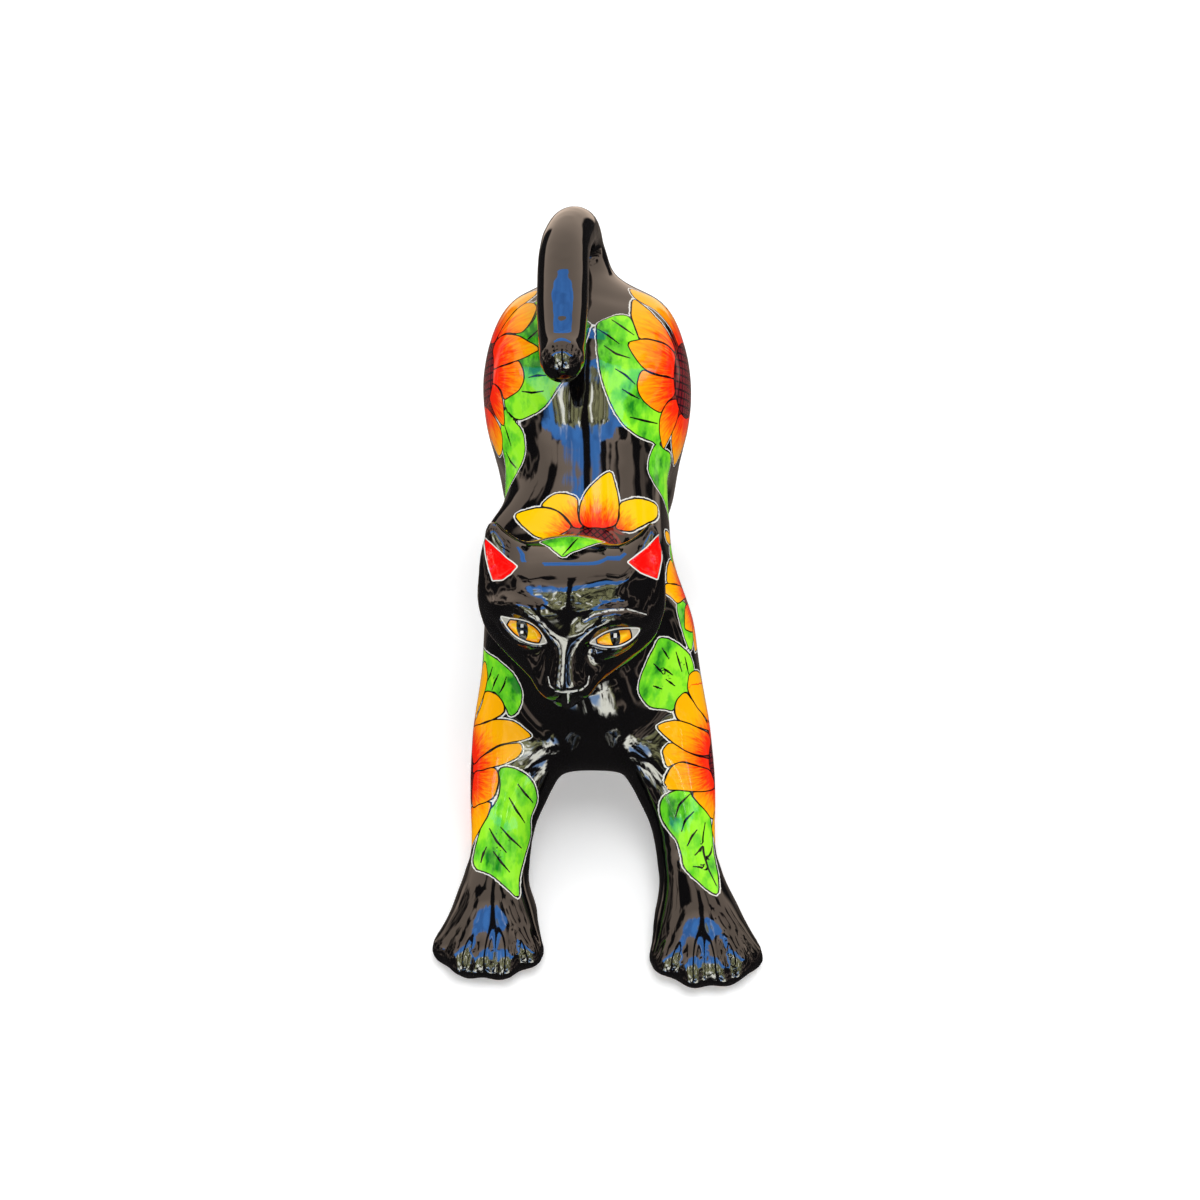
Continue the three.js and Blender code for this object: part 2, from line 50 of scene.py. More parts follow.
# Painted shapes. Each one has its centre on the cat in millimetres, the way the surface faces
# there, and outlines of points, each a number across and a number up from that centre.
FLOWERS = {
    "left_haunch": {
        "centre": (61.8, 119, 194), "faces": (0.96, -0.23, 0.15), "disc": (4, 9, 25), "reach": 68,
        "petals": [
            [8, 32, 13, 44, 20, 57, 28, 67, 37, 70, 44, 67, 41, 53, 32, 38, 22, 28],
            [23.8, 69.5, 27.2, 67.3, 22.3, 63.9, 13, 56.7, 6.2, 45.2, -0.2, 34.2, -2.5, 43.3, -6.1, 50,
             -9.3, 55.3, -11.8, 58.5, -4, 64.5, 6.2, 69.1],
            [-20.9, 61, -15, 59.1, -9.7, 55.1, -6.5, 49.8, -3.1, 43, -2.8, 34.5, -14.5, 25, -19.4, 29.8,
             -24.8, 35.7, -28.3, 43.6, -26.5, 52],
            [-30, 43.5, -27.6, 38.8, -24.6, 34.5, -19.8, 29.2, -15.7, 24.4, -20.8, 16.2, -28.8, 15.9,
             -33.6, 14.5, -37.6, 13.3, -41.5, 19.5, -43.5, 26.7, -42.4, 34.1, -37.2, 40.2],
            [-29, 15.6, -22.8, 13.7, -18.5, 9.3, -23.4, 0.6, -34, -6.1, -45.9, -10.7, -44.9, 0.5, -40.7,
             8.5, -35.9, 12.8],
            [-23, 0, -16, -3, -4, -9, -3, -20, -11, -33, -26, -40, -33, -30, -36, -18, -34, -7],
        ],
        "plain_petals": [(35, 60, 13), (5, 58, 13), (-25, 58, 13), (-55, 58, 13), (-88, 56, 12)],
    },
    "right_haunch": {
        "centre": (-75.6, 119, 190), "faces": (-0.98, -0.2, 0.08), "disc": (-9, 14, 21), "reach": 68,
        "petals": [
            [-12, 38, -17, 52, -23, 59, -29, 65, -37, 69, -45, 67, -45, 56, -37, 43, -26, 32],
            [-23.3, 69.4, -16.2, 70.6, -7.2, 68.3, -0.4, 63.7, 1.9, 59, -0.6, 55.2, -6.6, 50.2, -11.2,
             42.4, -16.3, 51.4, -21.8, 58.7, -27.4, 63.7, -26.8, 66.6],
            [21, 60.7, 21.4, 55.9, 19.8, 49.5, 16, 42.3, 10.9, 36.1, 4.1, 28.6, -6.6, 35, -10.4, 41.6,
             -6.1, 49.6, 1.1, 55.4, 9.6, 58.5],
            [19.2, 46.8, 25.7, 45.2, 31.5, 40.3, 33.9, 33.6, 31.5, 26.5, 27.7, 20.8, 21.8, 24.2, 14.1,
             23.5, 8.6, 21, 4.8, 28, 11.3, 35.7, 16.2, 42.2],
            [12.5, 22.4, 20.6, 23.3, 27.7, 18.6, 32.9, 11.3, 35.1, 5, 29.1, 4.2, 20.2, 6.6, 11.1, 10.9,
             9.2, 17.1],
            [8, 0, 20, 3, 30, 2, 37, -5, 38, -16, 30, -24, 18, -20, 8, -10],
        ],
        "plain_petals": [(-68, 56, 12), (-98, 58, 13), (-128, 58, 13), (-158, 58, 13), (172, 60, 13),
         (145, 64, 12)],
    },
    "nape": {
        "centre": (-3, -1, 174), "faces": (0.08, -0.03, 1.0), "disc": (2, -7, 16.5), "reach": 46,
        "petals": [
            [-48.9, 24.2, -41, 25.9, -34.4, 25.5, -27.7, 23.6, -21.9, 20.3, -17.1, 15.6, -13.1, 9.8, -18,
             6.7, -26.7, 4.3, -37.5, 9.5],
            [-32.4, 25.7, -29.7, 29.2, -25.3, 31.7, -19.7, 31.6, -14.7, 30.2, -10.6, 27.4, -9.8, 19.3,
             -8, 12.3, -4.8, 8.8, -11.4, 9.1, -15.9, 14.9, -21.6, 20.6, -27.7, 23.9],
            [11.1, 47.1, 3.5, 42.2, -3.6, 35.1, -8, 27.1, -9.1, 18.4, -7.4, 12.2, -2.3, 8.9, 7, 9.6,
             14.1, 12.4, 16.5, 19.8, 16.5, 30, 14.1, 39.3],
            [17, 26.2, 22.2, 30.9, 30.8, 35.4, 38.1, 38.4, 42.5, 39.1, 42.4, 31.2, 34, 21.3, 24.2, 12,
             14.8, 11, 16.8, 18.2],
        ],
        "plain_petals": [(-10, 38, 9), (-45, 34, 9), (-80, 32, 9), (-115, 32, 9), (-150, 34, 9),
         (178, 40, 9)],
    },
    "left_flank": {
        "centre": (59.2, 0, 114), "faces": (0.95, 0.3, 0.11), "disc": (0, 2, 11), "reach": 42,
        "petals": [
            [34, 39, 38, 28.9, 35.5, 25.8, 30.4, 28.6, 28, 35.6],
            [16.2, 30.8, 13, 25.2, 10.3, 18.1, 0.7, 19.1, -5.2, 31.7, -8.6, 39.7, 3.9, 37.8],
            [-10.8, 41.4, -6.5, 32.8, 0.7, 19.1, 1.7, 8.5, -11.6, 21.2, -20.3, 29.4, -19, 36.3, -17.5,
             41.6],
        ],
        "plain_petals": [(40, 36, 9), (5, 36, 9), (-30, 34, 9), (-65, 34, 9), (-100, 34, 9),
         (-135, 34, 9), (-170, 36, 9), (155, 36, 9)],
    },
    "left_foreleg": {
        "centre": (74.2, -66, 56), "faces": (0.99, 0.04, 0.1), "disc": (-10, -8, 15), "reach": 48,
        "petals": [
            [17, 51, 24, 44, 27, 34, 22, 24, 7, 12, 4, 26, 5, 35, 8, 45, 13, 50],
            [-2, 45.4, 2.5, 48, 6.7, 46.2, 5.4, 35.8, 3.6, 23.5, 0.8, 11.3, -6.4, 25.7, -7.3, 34.9, -6.6,
             40.2],
            [-15.1, 46.9, -10.8, 45, -7.6, 39.5, -6.8, 31, -5.4, 21.6, -2.5, 8.9, -12.7, 4.4, -21.1,
             13.8, -23.6, 22.6, -22.3, 31.6, -19.3, 39.7],
            [-31.4, 32.2, -24.6, 34.2, -22.4, 31.2, -23.6, 21.7, -21.5, 12.9, -16.5, 2.7, -22.5, -0.4,
             -27.7, 11.3, -30.4, 18.3, -34.4, 20.7, -38.7, 22],
            [-50.6, 8.1, -45, 15, -37.9, 19.8, -31.8, 19.2, -28.3, 12, -23.3, -0.7, -28.4, -10, -40.1,
             0.3, -45.8, 5.8],
            [-43.7, 2.8, -38.4, -0.9, -29.4, -10.4, -33.8, -20.8, -48.2, -16.7, -48.2, -8.5, -46.4,
             -2.7],
            [-48, -17, -42, -18, -38, -24, -48, -32, -60, -34, -62, -26, -55, -18],
        ],
        "plain_petals": [(40, 40, 10), (10, 40, 10), (-20, 38, 10), (-50, 36, 10), (-80, 36, 10),
         (-110, 38, 10)],
    },
    "right_foreleg": {
        "centre": (-80.6, -72, 56), "faces": (-0.99, -0.04, 0.12), "disc": (7, -12, 13), "reach": 48,
        "petals": [
            [-33, 49, -24, 47, -19, 38, -15, 28, -13, 18, -9, 7, -21, 10, -31, 22, -36, 36],
            [-17.8, 36.9, -12, 44.3, -6.5, 44.9, -2.1, 41.6, -0.7, 34.3, -2.5, 25.6, -9.1, 7.2, -11.4,
             19.1, -14, 29.2],
            [-9.1, 7.2, -2.4, 24.8, 0.4, 34.7, 3.6, 41.3, 10.2, 44.6, 18.6, 45.8, 17.7, 35.7, 15.2, 26.1,
             14.7, 15, 11.4, 0.1],
            [12.5, -0.5, 15.2, 14.6, 15.8, 25.6, 17.8, 32.4, 20.2, 36.5, 24.5, 35.1, 28.7, 28.5, 28,
             19.7, 24.9, 11.8, 18.4, -1.4],
            [18.6, -2.5, 22.5, 7.3, 26.2, 13.2, 31.4, 11.6, 37, 6.1, 40.6, 0.3, 38.8, -6, 33.8, -14.2],
            [34, -15, 41, -2, 47, -6, 54, -16, 57, -28, 46, -27, 36, -22],
        ],
        "plain_petals": [(170, 40, 10), (-160, 38, 10), (-130, 36, 10), (-100, 36, 10), (-68, 38, 10),
         (-40, 42, 10)],
    },
}
LEAVES = {
    "rump_left": {
        "centre": (20.7, 91, 227.6), "faces": (0.36, -0.65, 0.67),
        "outline": [-3.5, 42.8, 8.4, 44.7, 19.9, 41.2, 18.8, 30, 16, 15, 13.8, -2.6, 16.9, -25, 17.9,
         -38.2, 10, -46.3, 2.7, -41.4, -7, -33.9, -13.8, -24.5, -17, -10.9, -17.2, 3.5, -15, 17.4, -10.1,
         31.2],
        "veins": [[-4.9, 37.6, -1.3, 32.1, 2.4, 25.8], [7.7, 40.8, 11.1, 34.9, 15.1, 28.2],
         [-6.4, 25.6, -2.1, 19.2, 4.7, 14.4], [-5.3, 8.7, -1.3, 4.2, 2.3, -2],
         [-5.5, -4.9, -2.4, -8.4, 1.9, -12.2], [-6, -23, 1.6, -27.2, 10.6, -31.8]],
    },
    "rump_right": {
        "centre": (-33.3, 101.6, 237.5), "faces": (-0.3, -0.54, 0.79),
        "outline": [13.7, 44, 6, 44.8, -13.1, 44.1, -30.3, 39.9, -30.3, 20.3, -24, -2.5, -19.7, -26.4,
         -20.3, -36.3, -8, -43.2, 2, -38.5, 11.3, -29, 15.6, -14.5, 20.2, 2.2, 19.4, 21.9],
        "veins": [[-4.7, -14.3, -0.7, -12.1, 3.9, -10.6], [-6.4, -24.6, -0.4, -23.6, 5.5, -20.9],
         [-21.4, 17.1, -20.8, 23, -22.4, 30], [-17.7, 6.8, -14.7, 12.8, -13.5, 16.3]],
    },
    "left_waist": {
        "centre": (44.4, 63.1, 166.7), "faces": (0.94, -0.16, 0.28),
        "outline": [10, 24, 14, 16, 20, 6, 19, -6, 10, -20, 0, -32, -12, -44, -17, -46, -17, -33, -16,
         -21, -14, -4, -14, 10, -11, 19, -3, 23],
        "veins": [],
    },
    "right_waist": {
        "centre": (-56.7, 68.8, 177.8), "faces": (-0.88, -0.31, 0.35),
        "outline": [-23, 28, -19, 26, -11, 25, -1, 23, 8, 16, 12, 9, 14, -2, 15, -12, 18, -25, 24, -37,
         14, -28, 2, -20, -4, -9, -14, -1, -21, 12],
        "veins": [[-16.7, 15.8, -12.3, 12.6, -7.1, 9.9], [-8.2, 1.4, -0.4, 0.8, 8.6, 3]],
    },
    "crown": {
        "centre": (-14.7, -51.1, 217.2), "faces": (0.0, 0.18, 0.98),
        "outline": [-18, 9.5, -12, -1, -8, -8, -4.5, -12.6, 0.1, -7.4, 8, -0.6, 19, 11.5, 8, 15, -3.4,
         14.5],
        "veins": [[3.3, 10.5, -1.2, -1.8, -4.2, -8.8]],
    },
    "left_flank_small": {
        "centre": (49.4, 21.3, 136.3), "faces": (0.96, 0.1, 0.24),
        "outline": [18, 0, 8, 6, -3, 8, -11, 4, -6, -3, 6, -6, 14, -5],
        "veins": [],
    },
    "left_elbow": {
        "centre": (54.7, -30.2, 131.5), "faces": (0.84, -0.23, 0.49),
        "outline": [4, 11, 12, 8, 16, 0, 12, -9, 2, -16, -8, -18, -8, -6, -3, 4],
        "veins": [],
    },
    "right_shoulder": {
        "centre": (-60.8, -57.3, 104.3), "faces": (-0.62, -0.66, 0.43),
        "outline": [-32.2, 5.5, -25.8, 2, -25.4, -11, -10.2, -13.3, -1, -8, 9.7, -12.9, 13.9, -16.3,
         16.9, -13.5, 18.1, -4.8, 16.4, 3.3, 10.7, 9.2, 3.1, 12.4, -7.4, 13, -18.8, 10.2],
        "veins": [[-17.8, 1.1, -18.9, -3.6, -19.7, -8.1], [-9.9, 4.1, -9.9, -0.4, -11, -5.3],
         [-3.3, 3.1, -4.2, -2.3, -4.2, -6.7], [3.2, 5.1, 3.3, 0.5, 2.5, -4.3]],
    },
    "left_shoulder": {
        "centre": (43.9, -60.1, 112.6), "faces": (0.53, -0.72, 0.44),
        "outline": [2.9, 26.7, 10, 21.8, 17.3, 12.4, 23.3, 1.8, 23.4, -7.4, 17.7, -11.2, 11.9, -16.5,
         8.1, -15.2, 0.8, -18.5, -2.4, -22.7, -8, -19.3, -16.1, -13.7, -21, -4.8, -21.7, 3.8, -17.3,
         10.5, -11.1, 16.2, -3.5, 22.5],
        "veins": [[2.5, 18.5, 4.1, 12.7], [11, 11, 11.2, 0], [17, 4, 16.5, -5], [-5.8, 11.7, -2.7, 4.7],
         [-0.3, 6.3, 3, 1.2], [-0.5, -2, 2.5, -6.5], [-9.9, -1.6, -6.8, -4.5]],
    },
    "right_forearm": {
        "centre": (-54.7, -123.7, 46.7), "faces": (0.23, -0.47, 0.85),
        "outline": [-9.7, 34.1, -2.4, 34.5, 6.3, 31.4, 12.7, 25.2, 16, 17.3, 14.7, 6.4, 17.9, -3.8, 13.8,
         -16.4, 10.8, -30.9, 11.2, -44.5, 2.1, -39.6, -8.3, -32.5, -16.9, -29.1, -19.1, -19.6, -16.9,
         1.9, -9.9, 13, -9.5, 23.8, -11.8, 31.1],
        "veins": [[2.4, 24.2, 6.8, 20.3, 11.9, 16.9], [-1.9, 15.3, 3.4, 9, 9.4, 3.9],
         [-4.1, -3.3, 1.5, -8.1, 8.7, -12.4], [-11, -5.3, -6.2, -11.6, -0.5, -16.9],
         [-12.3, -17.3, -13.3, -20.7, -13.7, -24], [-6.5, -19.2, -2.1, -24.2, 2.8, -28.5]],
    },
    "left_forearm": {
        "centre": (58.1, -131.4, 43.9), "faces": (0.11, -0.36, 0.93),
        "outline": [-16.6, 25.3, -9.6, 28.7, -0.9, 27.9, 4.1, 22.6, 12.4, 17.6, 17.3, 5.1, 17.1, -8.6,
         18, -24.3, 16.9, -34.9, 10.9, -33.5, 3.5, -27.2, -3.6, -19.3, -5.5, -10.8, -8.5, -2.4, -14.7,
         5.9, -18.7, 14.2, -19.3, 21.1],
        "veins": [[-9.4, 13.4, -7.9, 19.7, -2, 26], [-5.3, 4.8, -3.8, 10.2, 0.6, 15],
         [-1.4, -4.2, 0.6, 0.4, 3.4, 4.1], [9.6, 9.4, 8.3, 0.4, 8.5, -8.9, 11.4, -19, 15.6, -28.1],
         [3.9, -10, 6, -7.7, 8.2, -4.2], [11.4, -11.6, 14.2, -8, 15.6, -4.6],
         [3.3, -18.5, 6.7, -18.6, 10.1, -20.3]],
    },
}
IRISES = [(-41.6, 68.2, 10.5), (9.6, 65.3, 10.1)]
EYES = [
    [-54.8, 77.2, -49.4, 76.5, -43.9, 75.8, -38.5, 74.3, -33.6, 71.2, -30.4, 66.9, -28.5, 62.4, -33.6,
     61.1, -40.1, 62.5, -45.9, 65.4, -49.9, 69.1, -52.8, 72.9],
    [-4.1, 62.4, 0.4, 66.2, 5.8, 69.1, 13.1, 70.7, 20.3, 70.9, 24.5, 70, 22.7, 66.3, 17.8, 62.4, 11.6,
     60, 4, 59.8, -1, 61.1],
]
PUPILS = [
    [-45, 75.2, -40.8, 74.5, -39.2, 70.1, -39.8, 65.1, -42.5, 64, -45, 68.7, -45.6, 72.3],
    [7.8, 69.6, 11.3, 70.5, 13.1, 66.3, 12.5, 61.8, 9.6, 60.7, 7.7, 64.7],
]
# Painted highlights: white glints on the pupils, standing in for light mirrored by the glaze.
PAINTED_EYE_HIGHLIGHTS = [
    [-43.4, 72.9, -41.7, 72.9, -41.7, 70.9, -43.4, 70.9],
    [-43.4, 69.2, -41.7, 69.2, -41.7, 67.5, -43.4, 67.5],
    [9.4, 67.8, 11.3, 67.8, 11.3, 65.2, 9.4, 65.2],
]
EAR_LININGS = [
    [-64.9, 121.7, -61.5, 119, -57.5, 115.2, -51.9, 110.1, -45.7, 105.6, -49.4, 101.6, -53.9, 98.4,
     -59.7, 98, -62, 104.4, -63.8, 113.4],
    [35.3, 123.2, 32.1, 119.7, 28.5, 116.1, 23, 111.8, 18, 108, 24.9, 102.5, 34.4, 98.7, 36.6, 108.9, 37,
     118.8],
]
# White lines of the nose and mouth, then an arc over one eye: a carved brow that is painted white as a
# highlight.
FACE_LINES_AND_BROW_HIGHLIGHT = [
    [-27.5, 41.9, -26.7, 37.9, -24, 35.2, -19.9, 34.3, -14.1, 34.7, -9, 35.4, -5.4, 38.3, -4.7, 41.9],
    [-16.6, 34.3, -16.4, 31.4, -16.6, 28.2],
    [-7.2, 75.2, -1.4, 78.8, 7.7, 81, 17.6, 81.4, 27.2, 78.5],
]

# Shapes of the face are measured across the cat and up a plane that leans back by 45 degrees.
LEAN = math.sqrt(0.5)
HEAD_CENTRE = (-13.0, -63.0, 176.0)
FACE_MIDDLE = -15.0
NOSE_MIDDLE = -16.0
SOLE_TOP = 1.2
WRISTS = ((64.0, -152.0), (-61.0, -148.0))
TOE_SPREAD = math.radians(16.0)
FAR = 20.0
MM = 0.001
# Patches of the head that are smoothed or raised: where each one rises and fades up the face, its
# half width, its reach from the head's centre, and how far forward it begins.
HEAD_PATCHES = {
    "brow": ((72.0, 78.0, 98.0, 108.0), (42.0, 52.0), (66.0, 72.0), (42.0, 66.0)),
    "lift": ((74.0, 101.0, 103.0, 121.0), (26.0, 52.0), (68.0, 76.0), (20.0, 50.0)),
    "crown": ((88.0, 95.0, 112.0, 124.0), (34.0, 46.0), (70.0, 76.0), (20.0, 34.0)),
}
# Swellings at the right shoulder and inside each front paw: centre, radius and push across the cat.
SWELLINGS = (
    ((-50.0, 20.0, 161.0), 22.5, -19.0),
    ((-30.0, -161.0, 14.0), 20.0, 3.4),
    ((32.0, -171.0, 14.0), 20.0, -5.0),
)
# How many times each part of the skin is smoothed.
ROUNDS = {"skin": 18, "brow": 89, "paws": 48, "crown": 30}

SKIES = {
    "sky": (62, 116, 184),
    "deep_sky": (34, 66, 118),
    "cloud": (200, 212, 232),
    "bright": (236, 236, 224),
    "haze": (120, 150, 190),
    "wall": (112, 100, 90),
    "trees": (128, 128, 92),
    "shade": (12, 11, 11),
}
PETAL_TONES = {
    "base": (246, 40, 12),
    "middle": (255, 134, 12),
    "tip": (255, 178, 6),
    "pale_tip": (253, 202, 6),
    "gap": (120, 24, 14),
}
LEAF_TONES = {"light": (150, 238, 44), "middle": (100, 208, 38), "dark": (28, 128, 30)}
INK = (8, 6, 8)
GLAZE = (4, 4, 5)
GLAZE_CLOUD = (9, 8, 9)
EYE_WHITE = (178, 176, 166)
# White of the painted highlights in the eyes.
EYE_HIGHLIGHT_WHITE = (240, 240, 235)
SKY_STRENGTH = 15.0
WALL_STRENGTH = 10.0
LINE_CLAY = (226, 226, 220)
SOLE_CLAY = {"light": (196, 164, 132), "dark": (170, 134, 104)}
EAR_RED = (252, 8, 4)
DISC_TONES = {"ground": (112, 26, 34), "hatch": (44, 12, 22)}
PAINTED = ("petal_a", "petal_b", "petal_c", "leaf", "disc", "eye", "ear")
IRIS_TONES = {"light": (250, 198, 14), "dark": (234, 142, 10)}


def unit(vector):
    """The vector at length one."""
    vector = np.array(vector, float)
    return vector / np.linalg.norm(vector)


def distance_from(points, centre):
    """Distance of each point from a centre."""
    return np.linalg.norm(points - np.array(centre), axis=1)


def unrolled(points, normals, centre, faces):
    """Distances across and up from a centre along the surface, in millimetres."""
    outward = unit(faces)
    reference = (0.0, 0.0, 1.0) if abs(outward[2]) < 0.8 else (0.0, 1.0, 0.0)
    across = unit(np.cross(reference, outward))
    up = np.cross(outward, across)
    offset = points - np.array(centre)
    flat = np.stack([offset @ across, offset @ up], axis=1)
    turned_away = np.clip(-0.1 - normals @ outward, 0.0, 1.0)
    length = np.linalg.norm(offset, axis=1) * (1.0 + turned_away)
    return flat * (length / np.maximum(np.linalg.norm(flat, axis=1), 1e-6))[:, None]


def rounded(outline, steps=4):
    """A closed curve through the points of an outline."""
    points = np.array(outline, float).reshape(-1, 2)
    before, after, beyond = (np.roll(points, shift, axis=0) for shift in (1, -1, -2))
    curve = []
    for t in np.arange(steps) / steps:
        curve.append(0.5 * (2.0 * points + (after - before) * t
                            + (2.0 * before - 5.0 * points + 4.0 * after - beyond) * t**2
                            + (3.0 * points - before - 3.0 * after + beyond) * t**3))
    return np.stack(curve, axis=1).reshape(-1, 2)


def signed_distance(spots, outline):
    """Distance from each spot to a closed outline, below zero inside it."""
    nearest = np.full(len(spots), 1e9)
    inside = np.zeros(len(spots), bool)
    for start, end in zip(outline, np.roll(outline, -1, axis=0)):
        edge = end - start
        along = np.clip((spots - start) @ edge / max(edge @ edge, 1e-9), 0.0, 1.0)
        gap = np.linalg.norm(spots - start - along[:, None] * edge, axis=1)
        nearest = np.minimum(nearest, gap)
        rise = end[1] - start[1]
        crosses = (start[1] > spots[:, 1]) != (end[1] > spots[:, 1])
        reached = edge[0] * (spots[:, 1] - start[1]) / (rise if abs(rise) > 1e-9 else 1e-9) + start[0]
        inside ^= crosses & (spots[:, 0] < reached)
    return np.where(inside, -nearest, nearest)


def stroke_distance(spots, stroke):
    """Distance from each spot to an open stroke, and how far to one side of it the spot is.

    The side distance grows towards both ends, so that a line of one width there comes to a point."""
    stroke = np.array(stroke, float).reshape(-1, 2)
    near = np.full(len(spots), 1e9)
    side = np.full(len(spots), FAR)
    lengths = np.linalg.norm(np.diff(stroke, axis=0), axis=1)
    total = lengths.sum()
    passed = 0.0
    for start, end, length in zip(stroke[:-1], stroke[1:], lengths):
        edge = (end - start) / length
        offset = spots - start
        along = np.clip(offset @ edge, 0.0, length)
        gap = np.linalg.norm(offset - along[:, None] * edge, axis=1)
        off_middle = (passed + along) / total * 2.0 - 1.0
        across = (edge[0] * offset[:, 1] - edge[1] * offset[:, 0]) * (1.0 + 1.1 * off_middle**2)
        closer = gap < near
        near = np.where(closer, gap, near)
        side = np.where(closer, across, side)
        passed += length
    return near, side


def petal_outline(angle, length, half_width, inner):
    """A pointed petal that leaves the disc at an angle in degrees."""
    direction = np.array([math.cos(math.radians(angle)), math.sin(math.radians(angle))])
    across = np.array([-direction[1], direction[0]])
    profile = [(0.0, 0.5), (0.25, 0.85), (0.5, 1.0), (0.72, 0.8), (0.9, 0.36), (1.0, 0.0)]
    span = length - inner
    left = [direction * (inner + t * span) + across * w * half_width for t, w in profile]
    right = [direction * (inner + t * span) - across * w * half_width for t, w in profile[:-1]]
    return np.array(left + right[::-1])


def select_only(obj):
    """Makes obj the only selected and the active object."""
    bpy.ops.object.select_all(action="DESELECT")
    obj.select_set(True)
    bpy.context.view_layer.objects.active = obj


def added(operator, name, material, **settings):
    """A new object of one material, added with nothing selected."""
    bpy.ops.object.select_all(action="DESELECT")
    operator(**settings)
    made = bpy.context.object
    made.name = name
    made.data.materials.append(material)
    return made


def vertex_places(mesh):
    """Vertex places in millimetres."""
    places = np.empty(len(mesh.vertices) * 3)
    mesh.vertices.foreach_get("co", places)
    return places.reshape(-1, 3) / MM


def vertex_normals(mesh):
    """Vertex normals."""
    normals = np.empty(len(mesh.vertices) * 3)
    mesh.vertex_normals.foreach_get("vector", normals)
    return normals.reshape(-1, 3)


def set_places(mesh, places):
    """Moves the vertices to places in millimetres."""
    mesh.vertices.foreach_set("co", (places * MM).ravel())
    mesh.update()


def face_places(points):
    """Places across the cat and up the leaning plane of the face."""
    return np.stack([points[:, 0], (points[:, 1] + points[:, 2]) * LEAN], axis=1)


def on_face(points, normals):
    """How much each vertex belongs to the front of the head, from 0 to 1."""
    near = np.clip((86.0 - distance_from(points, HEAD_CENTRE)) / 6.0, 0.0, 1.0)
    forward = np.clip((normals @ np.array([0.0, -LEAN, LEAN]) + 0.1) / 0.2, 0.0, 1.0)
    return near * forward * (points[:, 1] < -36.0)


def ease(value, start, end):
    """A smooth step from 0 at start to 1 at end."""
    t = np.clip((value - start) / (end - start), 0.0, 1.0)
    return t * t * (3.0 - 2.0 * t)


def split_where(obj, chosen):
    """Subdivides the faces whose centres, in millimetres, are chosen."""
    select_only(obj)
    bpy.ops.object.mode_set(mode="EDIT")
    bpy.ops.mesh.select_mode(type="FACE")
    bpy.ops.mesh.select_all(action="DESELECT")
    bpy.ops.object.mode_set(mode="OBJECT")
    centres = np.empty(len(obj.data.polygons) * 3)
    obj.data.polygons.foreach_get("center", centres)
    obj.data.polygons.foreach_set("select", chosen(centres.reshape(-1, 3) / MM))
    bpy.ops.object.mode_set(mode="EDIT")
    bpy.ops.mesh.subdivide(number_cuts=1)
    bpy.ops.object.mode_set(mode="OBJECT")


def relax(mesh, rounds, weight, back=0.615):
    """Evens out the surface by weight for each vertex, and pushes it back so that it doesn't shrink."""
    ends = np.empty(len(mesh.edges) * 2, np.int64)
    mesh.edges.foreach_get("vertices", ends)
    first, second = ends.reshape(-1, 2).T
    used = (weight[first] > 0) | (weight[second] > 0)
    index, ends = np.unique(np.stack([first[used], second[used]]), return_inverse=True)
    first, second = ends.reshape(2, -1)
    places = vertex_places(mesh)
    part = places[index]
    count = len(index)
    shared = np.bincount(first, minlength=count) + np.bincount(second, minlength=count)
    for _ in range(rounds):
        for pull in (0.6, -back):
            total = np.stack([
                np.bincount(first, part[second, k], count) + np.bincount(second, part[first, k], count)
                for k in range(3)
            ], axis=1)
            part += pull * weight[index, None] * (total / shared[:, None] - part)
    places[index] = part
    set_places(mesh, places)


def shape_ears(places):
    """Draws each ear out sideways to a narrower, lower tip."""
    for tip, inner in ((-64.0, -32.0), (34.0, 6.0)):
        sign = math.copysign(1.0, tip - FACE_MIDDLE)
        ear = (places[:, 1] < -20.0) & (sign * places[:, 0] > sign * inner)
        height = ease(places[:, 2], 206.0, 238.0) * ear
        places[:, 0] += (tip - places[:, 0]) * 0.55 * height
        places[:, 2] -= 4.0 * height


def shape_tail(places):
    """Thickens the tail towards its bend and gives it a rimmed, blunt end."""
    tail = (places[:, 2] > 250.0) & (places[:, 1] > 20.0)
    tip = places[tail, 1].min()
    bend = ease(places[:, 1], tip + 5.0, tip + 60.0)
    places[:, 0] += tail * ease(places[:, 2], 250.0, 262.0) * (
        (places[:, 0] + 16.0) * (0.1 * bend - 0.05) - 2.0)
    middle = places[tail & (places[:, 1] < tip + 16.0)].mean(axis=0)
    rim = tail * np.exp(-(((places[:, 1] - tip - 9.0) / 1.6) ** 2))
    inward = middle - places
    inward[:, 1] = 0.0
    places += 0.045 * rim[:, None] * inward


def part_toes(mesh):
    """Rounds four toes on each front paw, with grooves that fan out from the wrist."""
    places = vertex_places(mesh)
    normals = vertex_normals(mesh)
    for wrist in WRISTS:
        offset = places[:, :2] - np.array(wrist)
        reach = np.linalg.norm(offset, axis=1)
        angle = np.arctan2(offset[:, 0], -offset[:, 1])
        fan = np.clip(angle, -2.0 * TOE_SPREAD, 2.0 * TOE_SPREAD)
        toes = np.abs(np.sin(fan * math.pi / TOE_SPREAD)) ** 0.6
        front = ease(reach, 34.0, 54.0) * (reach < 90.0) * (np.abs(angle) < 1.2)
        front *= ease(places[:, 2], 1.5, 6.0) * ease(normals[:, 2], -0.5, 0.1)
        places += normals * ((3.0 * toes - 1.9) * front)[:, None]
    set_places(mesh, places)


def head_patch(name, spots, head, places):
    """How much each vertex belongs to a patch of the head, from 0 to 1."""
    (rise, full, end, gone), (core, edge), (near, far), (begin, whole) = HEAD_PATCHES[name]
    share = ease(spots[:, 1], rise, full) * ease(-spots[:, 1], -gone, -end)
    share *= ease(-np.abs(spots[:, 0] - FACE_MIDDLE), -edge, -core) * ease(-head, -far, -near)
    return share * ease(-places[:, 1], begin, whole)


